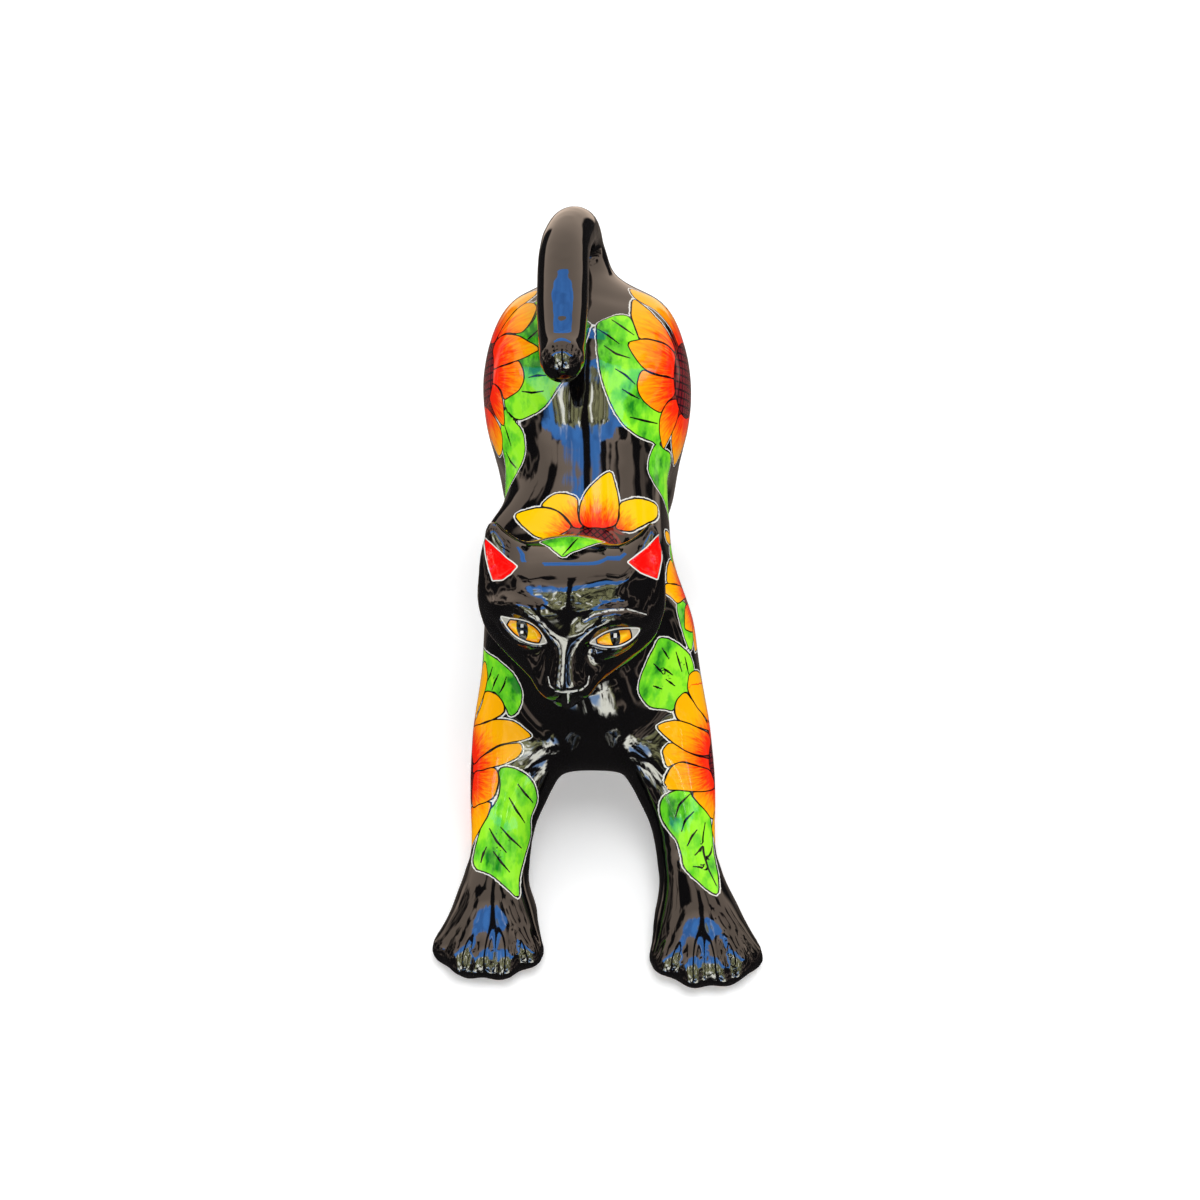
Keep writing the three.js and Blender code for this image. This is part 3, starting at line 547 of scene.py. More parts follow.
def smooth_skin(node, spacing):
    """A fine, even skin over the cast form."""
    obj = bpy.data.objects.new("cat_glazed", node.data.copy())
    bpy.context.scene.collection.objects.link(obj)
    obj.data.materials.clear()
    select_only(obj)
    bpy.ops.object.mode_set(mode="EDIT")
    bpy.ops.mesh.select_all(action="SELECT")
    bpy.ops.mesh.remove_doubles(threshold=1e-6)
    bpy.ops.object.mode_set(mode="OBJECT")
    rounding = obj.modifiers.new("rounding", "SUBSURF")
    rounding.levels = rounding.render_levels = 1
    bpy.ops.object.modifier_apply(modifier="rounding")
    obj.data.remesh_voxel_size = spacing
    bpy.ops.object.voxel_remesh()
    split_where(obj, lambda at: (distance_from(at, HEAD_CENTRE) < 62) & (at[:, 1] < -58))
    eye_spots = [rounded(eye) for eye in EYES]
    split_where(obj, lambda at: (at[:, 1] < -80) & (at[:, 2] > 160) & (np.min(
        [signed_distance(face_places(at), eye) for eye in eye_spots], axis=0) < 3.0))
    places = vertex_places(obj.data)
    sole = places[:, 2] < SOLE_TOP
    head = distance_from(places, HEAD_CENTRE)
    weight = 0.45 + 0.55 * ease(head, 50.0, 75.0)
    weight *= 0.45 + 0.55 * ease(places[:, 2] - 0.2 * (places[:, 1] + 150.0), 20.0, 60.0)
    relax(obj.data, ROUNDS["skin"], weight)
    spots = face_places(places)
    brow = head_patch("brow", spots, head, places)
    relax(obj.data, ROUNDS["brow"], brow, 0.0)
    paws = ease(places[:, 2], 13.0, 22.0) * ease(-places[:, 1], 138.0, 150.0)
    relax(obj.data, ROUNDS["paws"], paws, 0.0)
    places = vertex_places(obj.data)
    places += np.outer(brow, (0.0, -1.0, 1.0))
    lift = head_patch("lift", spots, head, places)
    places += np.outer(6.5 * lift, (0.0, -LEAN, LEAN))
    set_places(obj.data, places)
    nose = ease(spots[:, 1], 36.0, 44.0) * ease(-spots[:, 1], -80.0, -72.0)
    nose *= ease(-np.abs(spots[:, 0] - NOSE_MIDDLE), -20.0, -12.0)
    nose *= (head < 74.0) & (places[:, 1] < -56.0)
    crown = head_patch("crown", spots, head, places)
    relax(obj.data, ROUNDS["crown"], np.maximum(crown, nose), 0.0)
    places = vertex_places(obj.data)
    shape_ears(places)
    shape_tail(places)
    for centre, radius, push in SWELLINGS:
        places[:, 0] += push * np.exp(-((distance_from(places, centre) / radius) ** 2))
    set_places(obj.data, places)
    part_toes(obj.data)
    places = vertex_places(obj.data)
    places[sole, 2] = np.minimum(places[sole, 2], SOLE_TOP)
    places[:, 2] = np.maximum(places[:, 2], 0.0)
    set_places(obj.data, places)
    return obj


def carve_face(mesh):
    """Raises the lids and eyeballs and sinks the lines of the nose and mouth."""
    places = vertex_places(mesh)
    normals = vertex_normals(mesh)
    spots = face_places(places)
    face = on_face(places, normals)
    push = np.zeros(len(places))
    for eye in EYES:
        gap = signed_distance(spots, rounded(eye))
        push += 0.55 * np.exp(-(((gap - 1.0) / 1.0) ** 2))
        push += 0.9 * ease(-gap, 0.3, 6.0) - 0.4 * np.exp(-(((gap + 0.6) / 0.7) ** 2))
    for line in FACE_LINES_AND_BROW_HIGHLIGHT:
        near, _ = stroke_distance(spots, line)
        push -= 0.7 * np.exp(-((near / 0.8) ** 2))
    for lining in EAR_LININGS:
        push -= 1.6 * ease(-signed_distance(spots, rounded(lining, 1)), -0.6, 3.0)
    set_places(mesh, places + normals * (push * face)[:, None])


def add_value(mesh, name, values):
    """Stores one number for each vertex."""
    mesh.attributes.new(name, "FLOAT", "POINT").data.foreach_set("value", np.asarray(values, float))


def paint_distances(mesh):
    """Stores how far each vertex is from every painted edge, and where it is in its flower."""
    places = vertex_places(mesh)
    normals = vertex_normals(mesh)
    count = len(places)
    off_head = np.clip((60.0 - distance_from(places, HEAD_CENTRE)) / 4.0, 0.0, 1.0)
    off_head *= np.clip((-20.0 - places[:, 1]) / 4.0, 0.0, 1.0)
    off_tail = np.clip((places[:, 2] - 251.0) / 4.0, 0.0, 1.0)
    off_body = FAR * np.maximum(off_head, off_tail)
    fields = {name: np.full(count, FAR) for name in ("petal_a", "petal_b", "petal_c", "leaf", "disc")}
    bloom = np.full((count, 3), 9.0)
    nearest = np.full(count, 1e9)
    for name, flower in FLOWERS.items():
        spots = unrolled(places, normals, flower["centre"], flower["faces"])
        across, up, radius = flower["disc"]
        chosen = np.linalg.norm(spots, axis=1) < flower["reach"] + FAR * 2
        spots = spots[chosen]
        from_disc = spots - np.array([across, up])
        distance = np.linalg.norm(from_disc, axis=1)
        disc = np.minimum(fields["disc"][chosen], distance - radius + off_body[chosen])
        fields["disc"][chosen] = disc
        rings = [rounded(petal) for petal in flower["petals"]]
        plain = [petal_outline(angle, length, width, radius * 0.8)
                 for angle, length, width in flower["plain_petals"]]
        plain = [rounded(petal + np.array([across, up])) for petal in plain]
        for k, petal in enumerate(rings + plain):
            layer = "petal_c" if k == len(rings + plain) - 1 else ("petal_a", "petal_b")[k % 2]
            gap = signed_distance(spots, petal) + off_body[chosen]
            fields[layer][chosen] = np.minimum(fields[layer][chosen], gap)
        closer = distance < nearest[chosen]
        index = np.flatnonzero(chosen)[closer]
        nearest[index] = distance[closer]
        bloom[index, :2] = from_disc[closer] / flower["reach"]
        bloom[index, 2] = 1.0 if name == "nape" else 0.0
    side = np.full(count, FAR)
    near = np.full(count, FAR)
    for name, leaf in LEAVES.items():
        spots = unrolled(places, normals, leaf["centre"], leaf["faces"])
        chosen = np.linalg.norm(spots, axis=1) < 75.0
        spots = spots[chosen]
        masked = 0.0 if name == "crown" else off_body[chosen]
        gap = signed_distance(spots, rounded(leaf["outline"])) + masked
        fields["leaf"][chosen] = np.minimum(fields["leaf"][chosen], gap)
        for vein in leaf["veins"]:
            gap, across = stroke_distance(spots, vein)
            closer = gap < near[chosen]
            index = np.flatnonzero(chosen)[closer]
            near[index] = gap[closer]
            side[index] = across[closer]
    spots = face_places(places)
    face = on_face(places, normals)
    away = FAR * (1.0 - face)
    for name, outlines, steps in (("eye", EYES, 4), ("pupil", PUPILS, 4),
                                  ("eye_highlight", PAINTED_EYE_HIGHLIGHTS, 1), ("ear", EAR_LININGS, 1)):
        gaps = [signed_distance(spots, rounded(outline, steps)) for outline in outlines]
        add_value(mesh, name, np.min(gaps, axis=0) + away)
    gaps = [distance_from(spots, [x, up]) - radius for x, up, radius in IRISES]
    add_value(mesh, "iris", np.min(gaps, axis=0) + away)
    # Nearest face stroke: the nose and mouth lines and the painted highlight along the brow.
    line_and_highlight_near = np.full(count, FAR)
    line_and_highlight_side = np.full(count, FAR)
    for line in FACE_LINES_AND_BROW_HIGHLIGHT:
        gap, across = stroke_distance(spots, line)
        gap = gap + away
        closer = gap < line_and_highlight_near
        line_and_highlight_near = np.where(closer, gap, line_and_highlight_near)
        line_and_highlight_side = np.where(closer, across, line_and_highlight_side)
    for name, values in fields.items():
        add_value(mesh, name, np.minimum(values, FAR))
    for name, values in (("vein_side", side), ("vein_near", near),
                         ("line_and_highlight_side", line_and_highlight_side), ("line_and_highlight_near", line_and_highlight_near)):
        add_value(mesh, name, values)
    mesh.attributes.new("bloom", "FLOAT_VECTOR", "POINT").data.foreach_set("vector", bloom.ravel())


def linear(colour):
    """Scene-linear colour from red, green and blue on a scale of 0 to 255."""
    shares = [value / 255.0 for value in colour]
    return tuple(s / 12.92 if s <= 0.04045 else ((s + 0.055) / 1.055) ** 2.4 for s in shares) + (1.0,)


class Shade:
    """Adds nodes to one node tree."""

    def __init__(self, tree):
        self.tree = tree
        tree.nodes.clear()

    def node(self, kind, inputs, **settings):
        """A node with its settings, and each input linked or set."""
        made = self.tree.nodes.new(kind)
        for name, value in settings.items():
            setattr(made, name, value)
        for name, value in inputs.items():
            if isinstance(value, bpy.types.NodeSocket):
                self.tree.links.new(value, made.inputs[name])
            else:
                made.inputs[name].default_value = value
        return made

    def sum(self, operation, first, second=0.0, third=0.0):
        """The result of a math node."""
        made = self.node("ShaderNodeMath", {0: first, 1: second, 2: third}, operation=operation)
        return made.outputs[0]

    def times(self, first, second):
        """One number times another."""
        return self.sum("MULTIPLY", first, second)

    def step(self, value, start, end):
        """A smooth step from 0 where value is start to 1 where it is end."""
        flips = start > end
        low, high = (end, start) if flips else (start, end)
        made = self.node("ShaderNodeMapRange", {
            "Value": value, "From Min": low, "From Max": high,
            "To Min": 1.0 if flips else 0.0, "To Max": 0.0 if flips else 1.0,
        }, interpolation_type="SMOOTHSTEP")
        return made.outputs["Result"]

    def mix(self, factor, first, second):
        """One colour over another."""
        made = self.node("ShaderNodeMix", {0: factor, 6: first, 7: second}, data_type="RGBA")
        return made.outputs[2]

    def value(self, name):
        """A stored number."""
        return self.node("ShaderNodeAttribute", {}, attribute_name=name).outputs["Fac"]

    def noise(self, vector, scale, detail=2.0, roughness=0.5):
        """Soft random values about 0.5."""
        made = self.node("ShaderNodeTexNoise", {
            "Vector": vector, "Scale": scale, "Detail": detail, "Roughness": roughness,
        })
        return made.outputs["Fac"]

    def stretched(self, vector, scale):
        """A vector scaled along each axis."""
        return self.node("ShaderNodeMapping", {"Vector": vector, "Scale": scale}).outputs["Vector"]


def petal_colour(shade, bloom):
    """Red at the disc, then orange, then yellow at the tips, brushed outwards."""
    parts = shade.node("ShaderNodeSeparateXYZ", {0: bloom})
    flat = shade.node("ShaderNodeCombineXYZ", {0: parts.outputs[0], 1: parts.outputs[1]}).outputs[0]
    radius = shade.node("ShaderNodeVectorMath", {0: flat}, operation="LENGTH").outputs["Value"]
    outward = shade.node("ShaderNodeVectorMath", {0: flat}, operation="NORMALIZE").outputs[0]
    turns = shade.node("ShaderNodeVectorMath", {0: outward, "Scale": 9.0}, operation="SCALE").outputs[0]
    spokes = shade.node("ShaderNodeSeparateXYZ", {0: turns})
    brushed = shade.node("ShaderNodeCombineXYZ", {
        0: spokes.outputs[0], 1: spokes.outputs[1], 2: shade.times(radius, 2.5),
    }).outputs[0]
    streaks = shade.noise(brushed, 3.2, 3.0, 0.6)
    reach = shade.sum("ADD", radius, shade.times(shade.sum("SUBTRACT", streaks, 0.5), 0.55))
    tip = shade.mix(parts.outputs[2], linear(PETAL_TONES["tip"]), linear(PETAL_TONES["pale_tip"]))
    colour = shade.mix(shade.step(reach, 0.42, 0.68), linear(PETAL_TONES["base"]),
                       linear(PETAL_TONES["middle"]))
    colour = shade.mix(shade.step(reach, 0.57, 0.86), colour, tip)
    return colour, flat, radius


def leaf_colour(shade, place):
    """Greens laid on with a broad brush."""
    broad = shade.noise(place, 34.0, 2.0, 0.5)
    strokes = shade.noise(shade.stretched(place, (1.0, 0.45, 0.6)), 150.0, 3.0, 0.6)
    mixed = shade.sum("ADD", shade.times(broad, 0.6), shade.times(strokes, 0.4))
    colour = shade.mix(shade.step(mixed, 0.44, 0.54), linear(LEAF_TONES["light"]),
                       linear(LEAF_TONES["middle"]))
    return shade.mix(shade.step(mixed, 0.53, 0.64), colour, linear(LEAF_TONES["dark"]))


def disc_colour(shade, flat):
    """Brown-purple ground with a crossed hatch."""
    parts = shade.node("ShaderNodeSeparateXYZ", {0: flat})
    lines = []
    for sign in (1.0, -1.0):
        slanted = shade.sum("MULTIPLY_ADD", parts.outputs[1], sign, parts.outputs[0])
        wave = shade.sum("SINE", shade.times(slanted, 62.0))
        lines.append(shade.step(wave, 0.55, 0.8))
    crossed = shade.sum("MAXIMUM", lines[0], lines[1])
    return shade.mix(crossed, linear(DISC_TONES["ground"]), linear(DISC_TONES["hatch"]))


def laid_on(shade, under, distance, fill, half_line=0.36):
    """A filled shape with an ink line along its edge, laid over what is under it."""
    inked = shade.mix(shade.step(distance, half_line + 0.15, half_line - 0.1), under, linear(INK))
    return shade.mix(shade.step(distance, -half_line + 0.05, -half_line - 0.2), inked, fill)


def ring_between(shade, distance, start, end, soft=0.15):
    """1 where distance is between start and end."""
    return shade.times(shade.step(distance, start - soft, start + soft),
                       shade.step(distance, end + soft, end - soft))


def new_material(name):
    """A new material, a Shade for its nodes and its Object coordinates."""
    material = bpy.data.materials.new(name)
    material.use_nodes = True
    shade = Shade(material.node_tree)
    return material, shade, shade.node("ShaderNodeTexCoord", {}).outputs["Object"]


def glowing(material, shade, colour, strength):
    """Finishes a material as a glow, which isn't sampled as a light."""
    material.cycles.emission_sampling = "NONE"
    light = shade.node("ShaderNodeEmission", {"Color": colour, "Strength": strength})
    shade.node("ShaderNodeOutputMaterial", {"Surface": light.outputs[0]})
    return material


def paint_faces(mesh):
    """Gives the painted faces the second material, whose glaze mirrors less."""
    nearest = np.full(len(mesh.vertices), FAR)
    values = np.empty(len(mesh.vertices))
    for name in PAINTED:
        mesh.attributes[name].data.foreach_get("value", values)
        nearest = np.minimum(nearest, values)
    corners = np.empty(len(mesh.loops), np.int64)
    mesh.loops.foreach_get("vertex_index", corners)
    starts = np.empty(len(mesh.polygons), np.int64)
    mesh.polygons.foreach_get("loop_start", starts)
    painted = np.add.reduceat(nearest[corners], starts) < 0.0
    mesh.polygons.foreach_set("material_index", painted.astype(np.int64))


def glaze_material(name, ior):
    """Black glaze with painted flowers, leaves, ears and eyes, painted highlights, and bare clay under
    the paws.
    """
    material, shade, place = new_material(name)
    fine = shade.noise(place, 420.0, 2.0, 0.6)
    wobble = shade.sum("SUBTRACT", shade.noise(place, 130.0, 1.0), 0.5)
    bloom = shade.node("ShaderNodeAttribute", {}, attribute_name="bloom").outputs["Vector"]
    gaps = {name: shade.sum("MULTIPLY_ADD", wobble, 0.9, shade.value(name))
            for name in ("leaf", "petal_a", "petal_b", "petal_c", "disc")}
    petals, flat, radius = petal_colour(shade, bloom)
    outside = gaps["leaf"]
    flower = gaps["disc"]
    for name in ("petal_a", "petal_b", "petal_c"):
        flower = shade.sum("MINIMUM", flower, gaps[name])
    outside = shade.sum("MINIMUM", outside, flower)
    uneven = shade.sum("MULTIPLY_ADD", shade.sum("SUBTRACT", fine, 0.5), 1.3, outside)
    beside_disc = shade.step(radius, 0.56, 0.46)
    bare_line = shade.times(ring_between(shade, uneven, 0.45, 1.2),
                            shade.sum("SUBTRACT", 1.0, beside_disc))
    cloudy = shade.noise(place, 60.0, 3.0)
    black = shade.mix(cloudy, linear(GLAZE), linear(GLAZE_CLOUD))
    colour = shade.mix(bare_line, black, linear(LINE_CLAY))
    between = shade.times(beside_disc, shade.step(flower, 3.0, 2.0))
    colour = shade.mix(between, colour, linear(PETAL_TONES["gap"]))
    colour = laid_on(shade, colour, gaps["leaf"], leaf_colour(shade, place))
    for name in ("petal_c", "petal_b", "petal_a"):
        colour = laid_on(shade, colour, gaps[name], petals)
    colour = laid_on(shade, colour, gaps["disc"], disc_colour(shade, flat))
    vein = shade.times(shade.step(shade.sum("ABSOLUTE", shade.value("vein_side")), 0.95, 0.6),
                       shade.step(shade.value("vein_near"), 2.2, 1.6))
    in_leaf = shade.times(shade.step(gaps["leaf"], 0.0, -0.4), shade.step(flower, 0.3, 0.6))
    vein = shade.times(vein, in_leaf)
    colour = shade.mix(vein, colour, linear(INK))
    ear = shade.value("ear")
    ear_line = ring_between(shade, shade.sum("MULTIPLY_ADD", wobble, 0.8, ear), 0.3, 0.95)
    colour = shade.mix(ear_line, colour, linear(LINE_CLAY))
    in_ear = shade.step(ear, 0.3, -0.1)
    colour = shade.mix(in_ear, colour, linear(EAR_RED))
    eye = shade.sum("ADD", shade.value("eye"), 0.45)
    iris = shade.sum("MAXIMUM", shade.value("iris"), shade.sum("ADD", eye, 0.55))
    eye_line = ring_between(shade, eye, -0.15, 0.55)
    colour = shade.mix(shade.step(eye, 0.1, -0.1), colour, linear(EYE_WHITE))
    amber = shade.mix(shade.step(shade.sum("MULTIPLY_ADD", wobble, 3.0, iris), -2.8, -0.2),
                      linear(IRIS_TONES["light"]), linear(IRIS_TONES["dark"]))
    colour = laid_on(shade, colour, iris, amber, 0.4)
    colour = laid_on(shade, colour, shade.sum(
        "MAXIMUM", shade.value("pupil"), shade.sum("ADD", eye, 0.6)), linear(INK), 0.1)
    # Painted highlight: white glints on the pupils.
    colour = shade.mix(shade.step(shade.value("eye_highlight"), 0.1, -0.15), colour, linear(EYE_HIGHLIGHT_WHITE))
    colour = shade.mix(eye_line, colour, linear(LINE_CLAY))
    # White nose and mouth lines, and a painted highlight along the brow.
    lines_and_brow_highlight = shade.times(shade.step(shade.sum("ABSOLUTE", shade.value("line_and_highlight_side")), 0.75, 0.4),
                            shade.step(shade.value("line_and_highlight_near"), 1.6, 1.1))
    lines_and_brow_highlight = shade.times(lines_and_brow_highlight, shade.step(fine, 0.35, 0.5))
    colour = shade.mix(shade.times(lines_and_brow_highlight, 0.75), colour, linear(LINE_CLAY))
    height = shade.node("ShaderNodeSeparateXYZ", {0: place}).outputs[2]
    sole_edge = shade.sum("MULTIPLY_ADD", shade.sum("SUBTRACT", cloudy, 0.5), 0.003, height)
    sole = shade.step(sole_edge, 0.0016, 0.0009)
    grain = shade.noise(place, 900.0, 3.0, 0.7)
    clay = shade.mix(grain, linear(SOLE_CLAY["dark"]), linear(SOLE_CLAY["light"]))
    colour = shade.mix(sole, colour, clay)
    bare = shade.sum("MAXIMUM", bare_line, shade.sum("MAXIMUM", ear_line, eye_line))
    rough = shade.sum("MULTIPLY_ADD", cloudy, 0.05, 0.02)
    for share, roughness in ((bare, 0.22), (in_ear, 0.12), (sole, 0.85)):
        rough = shade.sum("MAXIMUM", rough, shade.times(share, roughness))
    sunk = shade.sum("MAXIMUM", bare, shade.sum("MAXIMUM", lines_and_brow_highlight, shade.times(vein, 0.7)))
    flow = shade.noise(place, 30.0, 2.0, 0.5)
    surface = shade.sum("SUBTRACT", shade.times(flow, 1.2), shade.times(sunk, 0.35))
    bump = shade.node("ShaderNodeBump", {"Strength": 0.45, "Distance": 0.0006, "Height": surface})
    finish = shade.node("ShaderNodeBsdfPrincipled", {
        "Base Color": colour, "Roughness": rough, "IOR": ior, "Normal": bump.outputs[0],
    })
    shade.node("ShaderNodeOutputMaterial", {"Surface": finish.outputs[0]})
    return material


def reflection_material():
    """The open-air surroundings that the glaze mirrors, by direction from the cat."""
    material, shade, place = new_material("open_air")
    tones = {name: linear(tone) for name, tone in SKIES.items()}
    direction = shade.node("ShaderNodeVectorMath", {0: place}, operation="NORMALIZE").outputs[0]
    parts = shade.node("ShaderNodeSeparateXYZ", {0: direction})
    ragged = shade.sum("SUBTRACT", shade.noise(direction, 5.0, 4.0, 0.6), 0.5)
    soft = shade.sum("SUBTRACT", shade.noise(direction, 2.2, 2.0, 0.5), 0.5)
    across = parts.outputs[0]
    back = parts.outputs[1]
    front = shade.sum("MULTIPLY_ADD", ragged, 0.5, shade.times(back, -1.0))
    upright = shade.stretched(direction, (2.4, 1.0, 0.7))
    clouds = shade.step(shade.noise(upright, 2.3, 4.0, 0.55), 0.52, 0.68)
    sky = shade.mix(clouds, tones["sky"], tones["cloud"])
    deeper = shade.step(shade.noise(direction, 4.0), 0.35, 0.65)
    sky = shade.mix(shade.times(deeper, 0.5), sky, tones["deep_sky"])
    leaves = shade.step(shade.noise(upright, 8.0, 5.0, 0.7), 0.4, 0.6)
    trees = shade.mix(leaves, tones["trees"], tones["shade"])
    sparkle = shade.step(shade.noise(upright, 4.0, 3.0, 0.55), 0.56, 0.66)
    trees = shade.mix(sparkle, trees, tones["bright"])
    colour = shade.mix(shade.step(front, 0.38, 0.44), sky, trees)
    patches = shade.step(shade.noise(direction, 4.6, 3.0, 0.5), 0.45, 0.54)
    haze = shade.mix(shade.step(shade.noise(direction, 2.0), 0.45, 0.55), tones["bright"],
                     tones["haze"])
    low_front = shade.mix(shade.times(patches, 0.85), tones["shade"], haze)
    colour = shade.mix(shade.step(front, 0.78, 0.86), colour, low_front)
    uneven = shade.sum("MULTIPLY_ADD", ragged, 0.3, back)
    blotches = shade.sum("MAXIMUM", shade.step(shade.noise(direction, 4.2, 2.0, 0.4), 0.43, 0.49),
                         shade.step(shade.sum("ABSOLUTE", across), 0.34, 0.24))
    under_eaves = shade.mix(blotches, tones["shade"], tones["wall"])
    colour = shade.mix(shade.step(uneven, -0.25, -0.21), colour, under_eaves)
    walls = shade.step(shade.sum("MULTIPLY_ADD", soft, 0.4, back), 0.3, 0.4)
    colour = shade.mix(walls, colour, tones["wall"])
    beam = ring_between(shade, shade.sum("MULTIPLY_ADD", ragged, 0.1, across), -0.07, 0.1, 0.015)
    colour = shade.mix(shade.times(beam, shade.step(back, 0.3, 0.2)), colour,
                       tones["shade"])
    spread = shade.sum("MULTIPLY_ADD", ragged, 0.25, shade.sum("ABSOLUTE", across))
    spread = shade.sum("MULTIPLY_ADD", shade.step(back, 0.0, -0.7), 0.3, spread)
    sides = shade.times(shade.step(spread, 0.86, 0.9), shade.step(back, 0.6, 0.4))
    swirls = ring_between(shade, shade.noise(direction, 3.0, 1.0), 0.5, 0.54, 0.02)
    beside = shade.mix(shade.times(swirls, 0.5), tones["shade"], tones["wall"])
    colour = shade.mix(sides, colour, beside)
    height = shade.sum("MULTIPLY_ADD", ragged, 0.15, parts.outputs[2])
    behind = shade.step(back, 0.5, 0.6)
    hedge = shade.times(ring_between(shade, height, -0.3, 0.22, 0.03),
                        shade.step(shade.sum("ABSOLUTE", across), 0.38, 0.44))
    colour = shade.mix(shade.times(hedge, behind), colour, tones["shade"])
    low = shade.times(shade.step(height, -0.2, -0.3),
                      shade.sum("MULTIPLY_ADD", behind, -0.08, 1.0))
    colour = shade.mix(low, colour, tones["shade"])
    strength = shade.sum("MULTIPLY_ADD", shade.step(back, -0.2, 0.0), WALL_STRENGTH - SKY_STRENGTH,
                         SKY_STRENGTH)
    return glowing(material, shade, colour, strength)


def sky_gap_material():
    """A small piece of sky above the tail, for the tail to mirror."""
    material, shade, place = new_material("sky_gap")
    colour = shade.mix(shade.noise(place, 3.0), linear(SKIES["sky"]), linear(SKIES["deep_sky"]))
    return glowing(material, shade, colour, SKY_STRENGTH)


def floor_material():
    """Pale matt floor."""
    material, shade, place = new_material("pale_floor")
    colour = shade.mix(shade.noise(place, 2.0), (0.96, 0.96, 0.96, 1.0), (0.98, 0.98, 0.98, 1.0))
    finish = shade.node("ShaderNodeBsdfPrincipled", {
        "Base Color": colour, "Roughness": 0.9, "Emission Color": colour, "Emission Strength": 0.2})
    shade.node("ShaderNodeOutputMaterial", {"Surface": finish.outputs[0]})
    return material


class CatSettings(bpy.types.PropertyGroup):
    """Sizes and strengths that the operators read."""

    skin_spacing: bpy.props.FloatProperty(
        name="Skin spacing", description="Distance between points of the skin",
        default=0.0023, min=0.001, unit="LENGTH", subtype="DISTANCE")
    black_ior: bpy.props.FloatProperty(
        name="Black glaze IOR", description="How strongly the black glaze mirrors",
        default=1.62, min=1.0, max=2.5)
    paint_ior: bpy.props.FloatProperty(
        name="Painted glaze IOR", description="How strongly the glaze over the paint mirrors",
        default=1.3, min=1.0, max=2.5)
    daylight: bpy.props.FloatProperty(
        name="Daylight", description="Strength of the even light from all round",
        default=0.84, min=0.0)
    key_power: bpy.props.FloatProperty(
        name="Key light", description="Power of the large soft light overhead, in watts",
        default=17.0, min=0.0)
    camera_lens: bpy.props.FloatProperty(
        name="Lens", description="Focal length of the camera, in millimetres",
        default=43.74, min=10.0)


class CAT_OT_skin(bpy.types.Operator):
    """Builds the cat's skin, carves its face and paints it"""

    bl_idname = "ceramic_cat.skin"
    bl_label = "Build the painted cat"

    def execute(self, context):
        settings = context.scene.ceramic_cat
        cat = smooth_skin(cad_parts["cat_figure"], settings.skin_spacing)
        carve_face(cat.data)
        paint_distances(cat.data)
        cat.data.materials.append(glaze_material("black_glaze", settings.black_ior))
        cat.data.materials.append(glaze_material("painted_glaze", settings.paint_ior))
        paint_faces(cat.data)
        select_only(cat)
        bpy.ops.object.shade_smooth()
        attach(cat, "root")
        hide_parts("cat_figure")
        return {"FINISHED"}


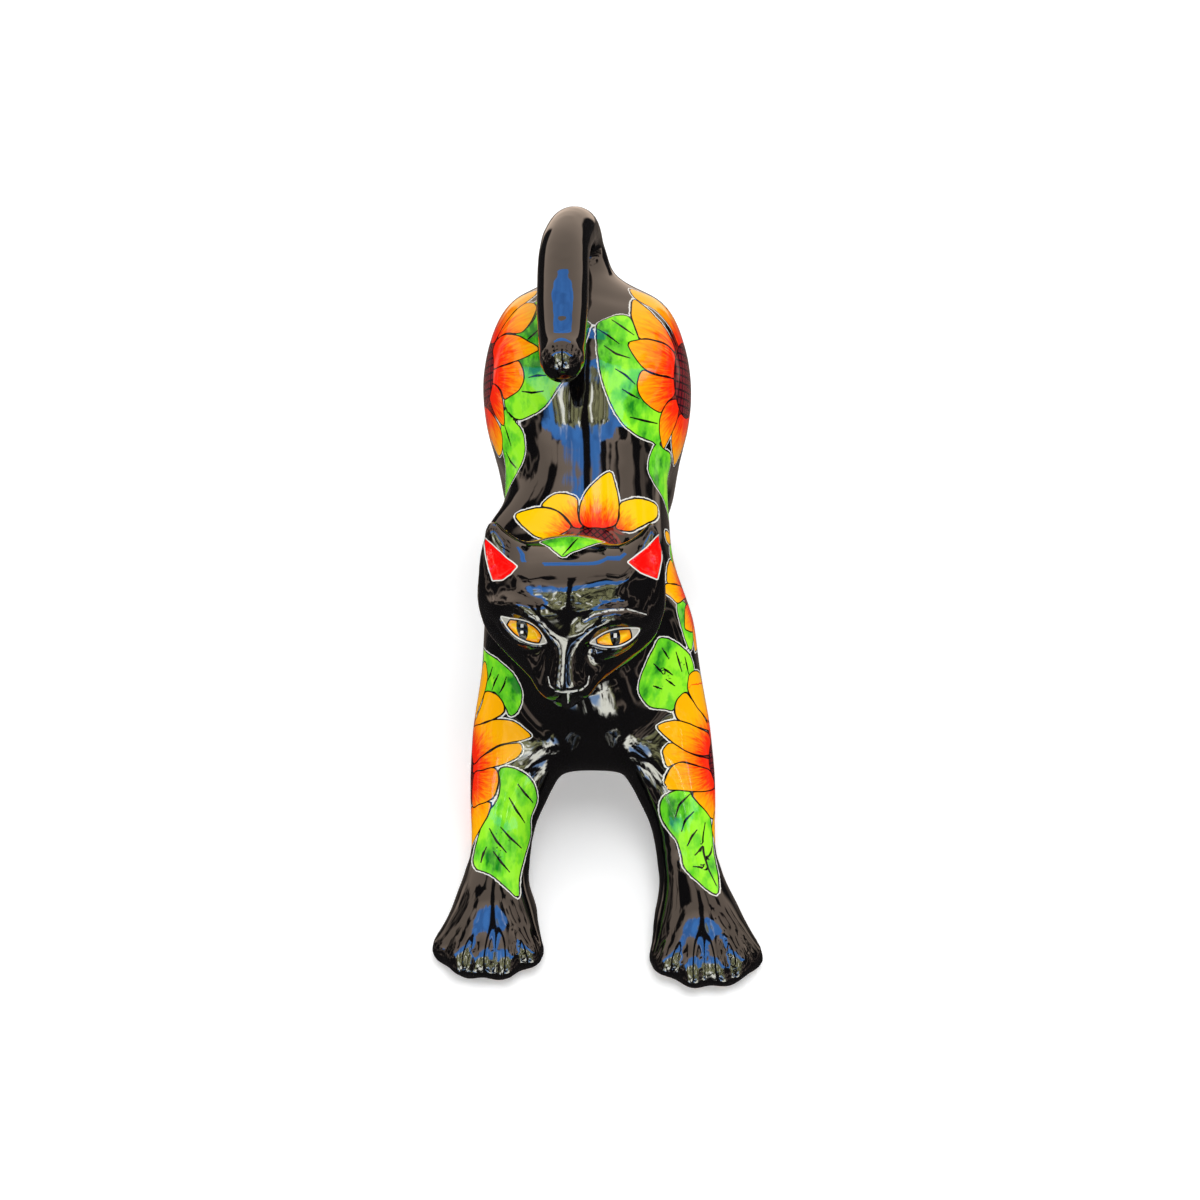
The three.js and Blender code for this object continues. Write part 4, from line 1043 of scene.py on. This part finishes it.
class CAT_OT_stage(bpy.types.Operator):
    """Sets out the floor, the surroundings, the light and the camera"""

    bl_idname = "ceramic_cat.stage"
    bl_label = "Set the stage"

    def execute(self, context):
        settings = context.scene.ceramic_cat
        floor = added(bpy.ops.mesh.primitive_plane_add, "floor", floor_material(),
                      size=12.0, location=(0.0, 0.0, 0.0))
        floor.visible_glossy = False
        dome = added(bpy.ops.mesh.primitive_uv_sphere_add, "open_air", reflection_material(),
                     segments=48, ring_count=24, radius=5.0)
        gap = added(bpy.ops.mesh.primitive_plane_add, "sky_gap", sky_gap_material(), size=1.0,
                    location=(-0.018, 0.133, 0.366), rotation=(math.radians(-27.6), 0.0, 0.0))
        gap.scale = (0.135, 0.036, 1.0)
        for piece in (dome, gap):
            piece.visible_camera = False
            piece.visible_diffuse = False
            piece.visible_shadow = False
        bpy.ops.object.light_add(type="AREA", location=(0.2, -0.25, 2.1))
        key = context.object
        key.name = "key_light"
        key.data.shape = "DISK"
        key.data.size = 1.3
        key.data.energy = settings.key_power
        key.rotation_euler = (math.radians(-7.0), math.radians(5.5), 0.0)
        key.visible_camera = False
        key.visible_glossy = False
        world = bpy.data.worlds.new("even_light")
        world.use_nodes = True
        shade = Shade(world.node_tree)
        rays = shade.node("ShaderNodeLightPath", {})
        even = shade.node("ShaderNodeBackground", {
            "Color": (1.0, 1.0, 1.0, 1.0), "Strength": settings.daylight})
        seen = shade.node("ShaderNodeBackground", {"Color": (1.0, 1.0, 1.0, 1.0), "Strength": 1.0})
        dark = shade.node("ShaderNodeBackground", {"Color": linear(SKIES["shade"]), "Strength": 1.0})
        mirrored = shade.node("ShaderNodeMixShader", {
            0: rays.outputs["Is Glossy Ray"], 1: even.outputs[0], 2: dark.outputs[0]})
        whole = shade.node("ShaderNodeMixShader", {
            0: rays.outputs["Is Camera Ray"], 1: mirrored.outputs[0], 2: seen.outputs[0]})
        shade.node("ShaderNodeOutputWorld", {"Surface": whole.outputs[0]})
        context.scene.world = world
        bpy.ops.object.camera_add(location=(0.0, -0.6576, 0.7976),
                                  rotation=(math.radians(45.0), 0.0, 0.0))
        camera = context.object
        camera.name = "photo_camera"
        camera.data.lens = settings.camera_lens
        camera.data.shift_x = 0.0025
        camera.data.shift_y = -0.0183
        context.scene.camera = camera
        context.scene.view_settings.view_transform = "Standard"
        return {"FINISHED"}


class CAT_PT_panel(bpy.types.Panel):
    """Lists the steps in the order in which they run"""

    bl_idname = "CAT_PT_panel"
    bl_label = "Ceramic Cat"
    bl_space_type = "VIEW_3D"
    bl_region_type = "UI"
    bl_category = "Ceramic Cat"

    def draw(self, context):
        settings = context.scene.ceramic_cat
        for name in ("skin_spacing", "black_ior", "paint_ior", "daylight", "key_power",
                     "camera_lens"):
            self.layout.prop(settings, name)
        self.layout.operator("ceramic_cat.skin")
        self.layout.operator("ceramic_cat.stage")


CLASSES = (CatSettings, CAT_OT_skin, CAT_OT_stage, CAT_PT_panel)


def register():
    """Adds the settings, the operators and the panel."""
    for item in CLASSES:
        bpy.utils.register_class(item)
    bpy.types.Scene.ceramic_cat = bpy.props.PointerProperty(type=CatSettings)


def unregister():
    """Takes them away again."""
    del bpy.types.Scene.ceramic_cat
    for item in reversed(CLASSES):
        bpy.utils.unregister_class(item)


def main():
    """Builds everything."""
    register()
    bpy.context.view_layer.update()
    bpy.ops.ceramic_cat.skin()
    bpy.ops.ceramic_cat.stage()


if __name__ == "__main__":
    main()
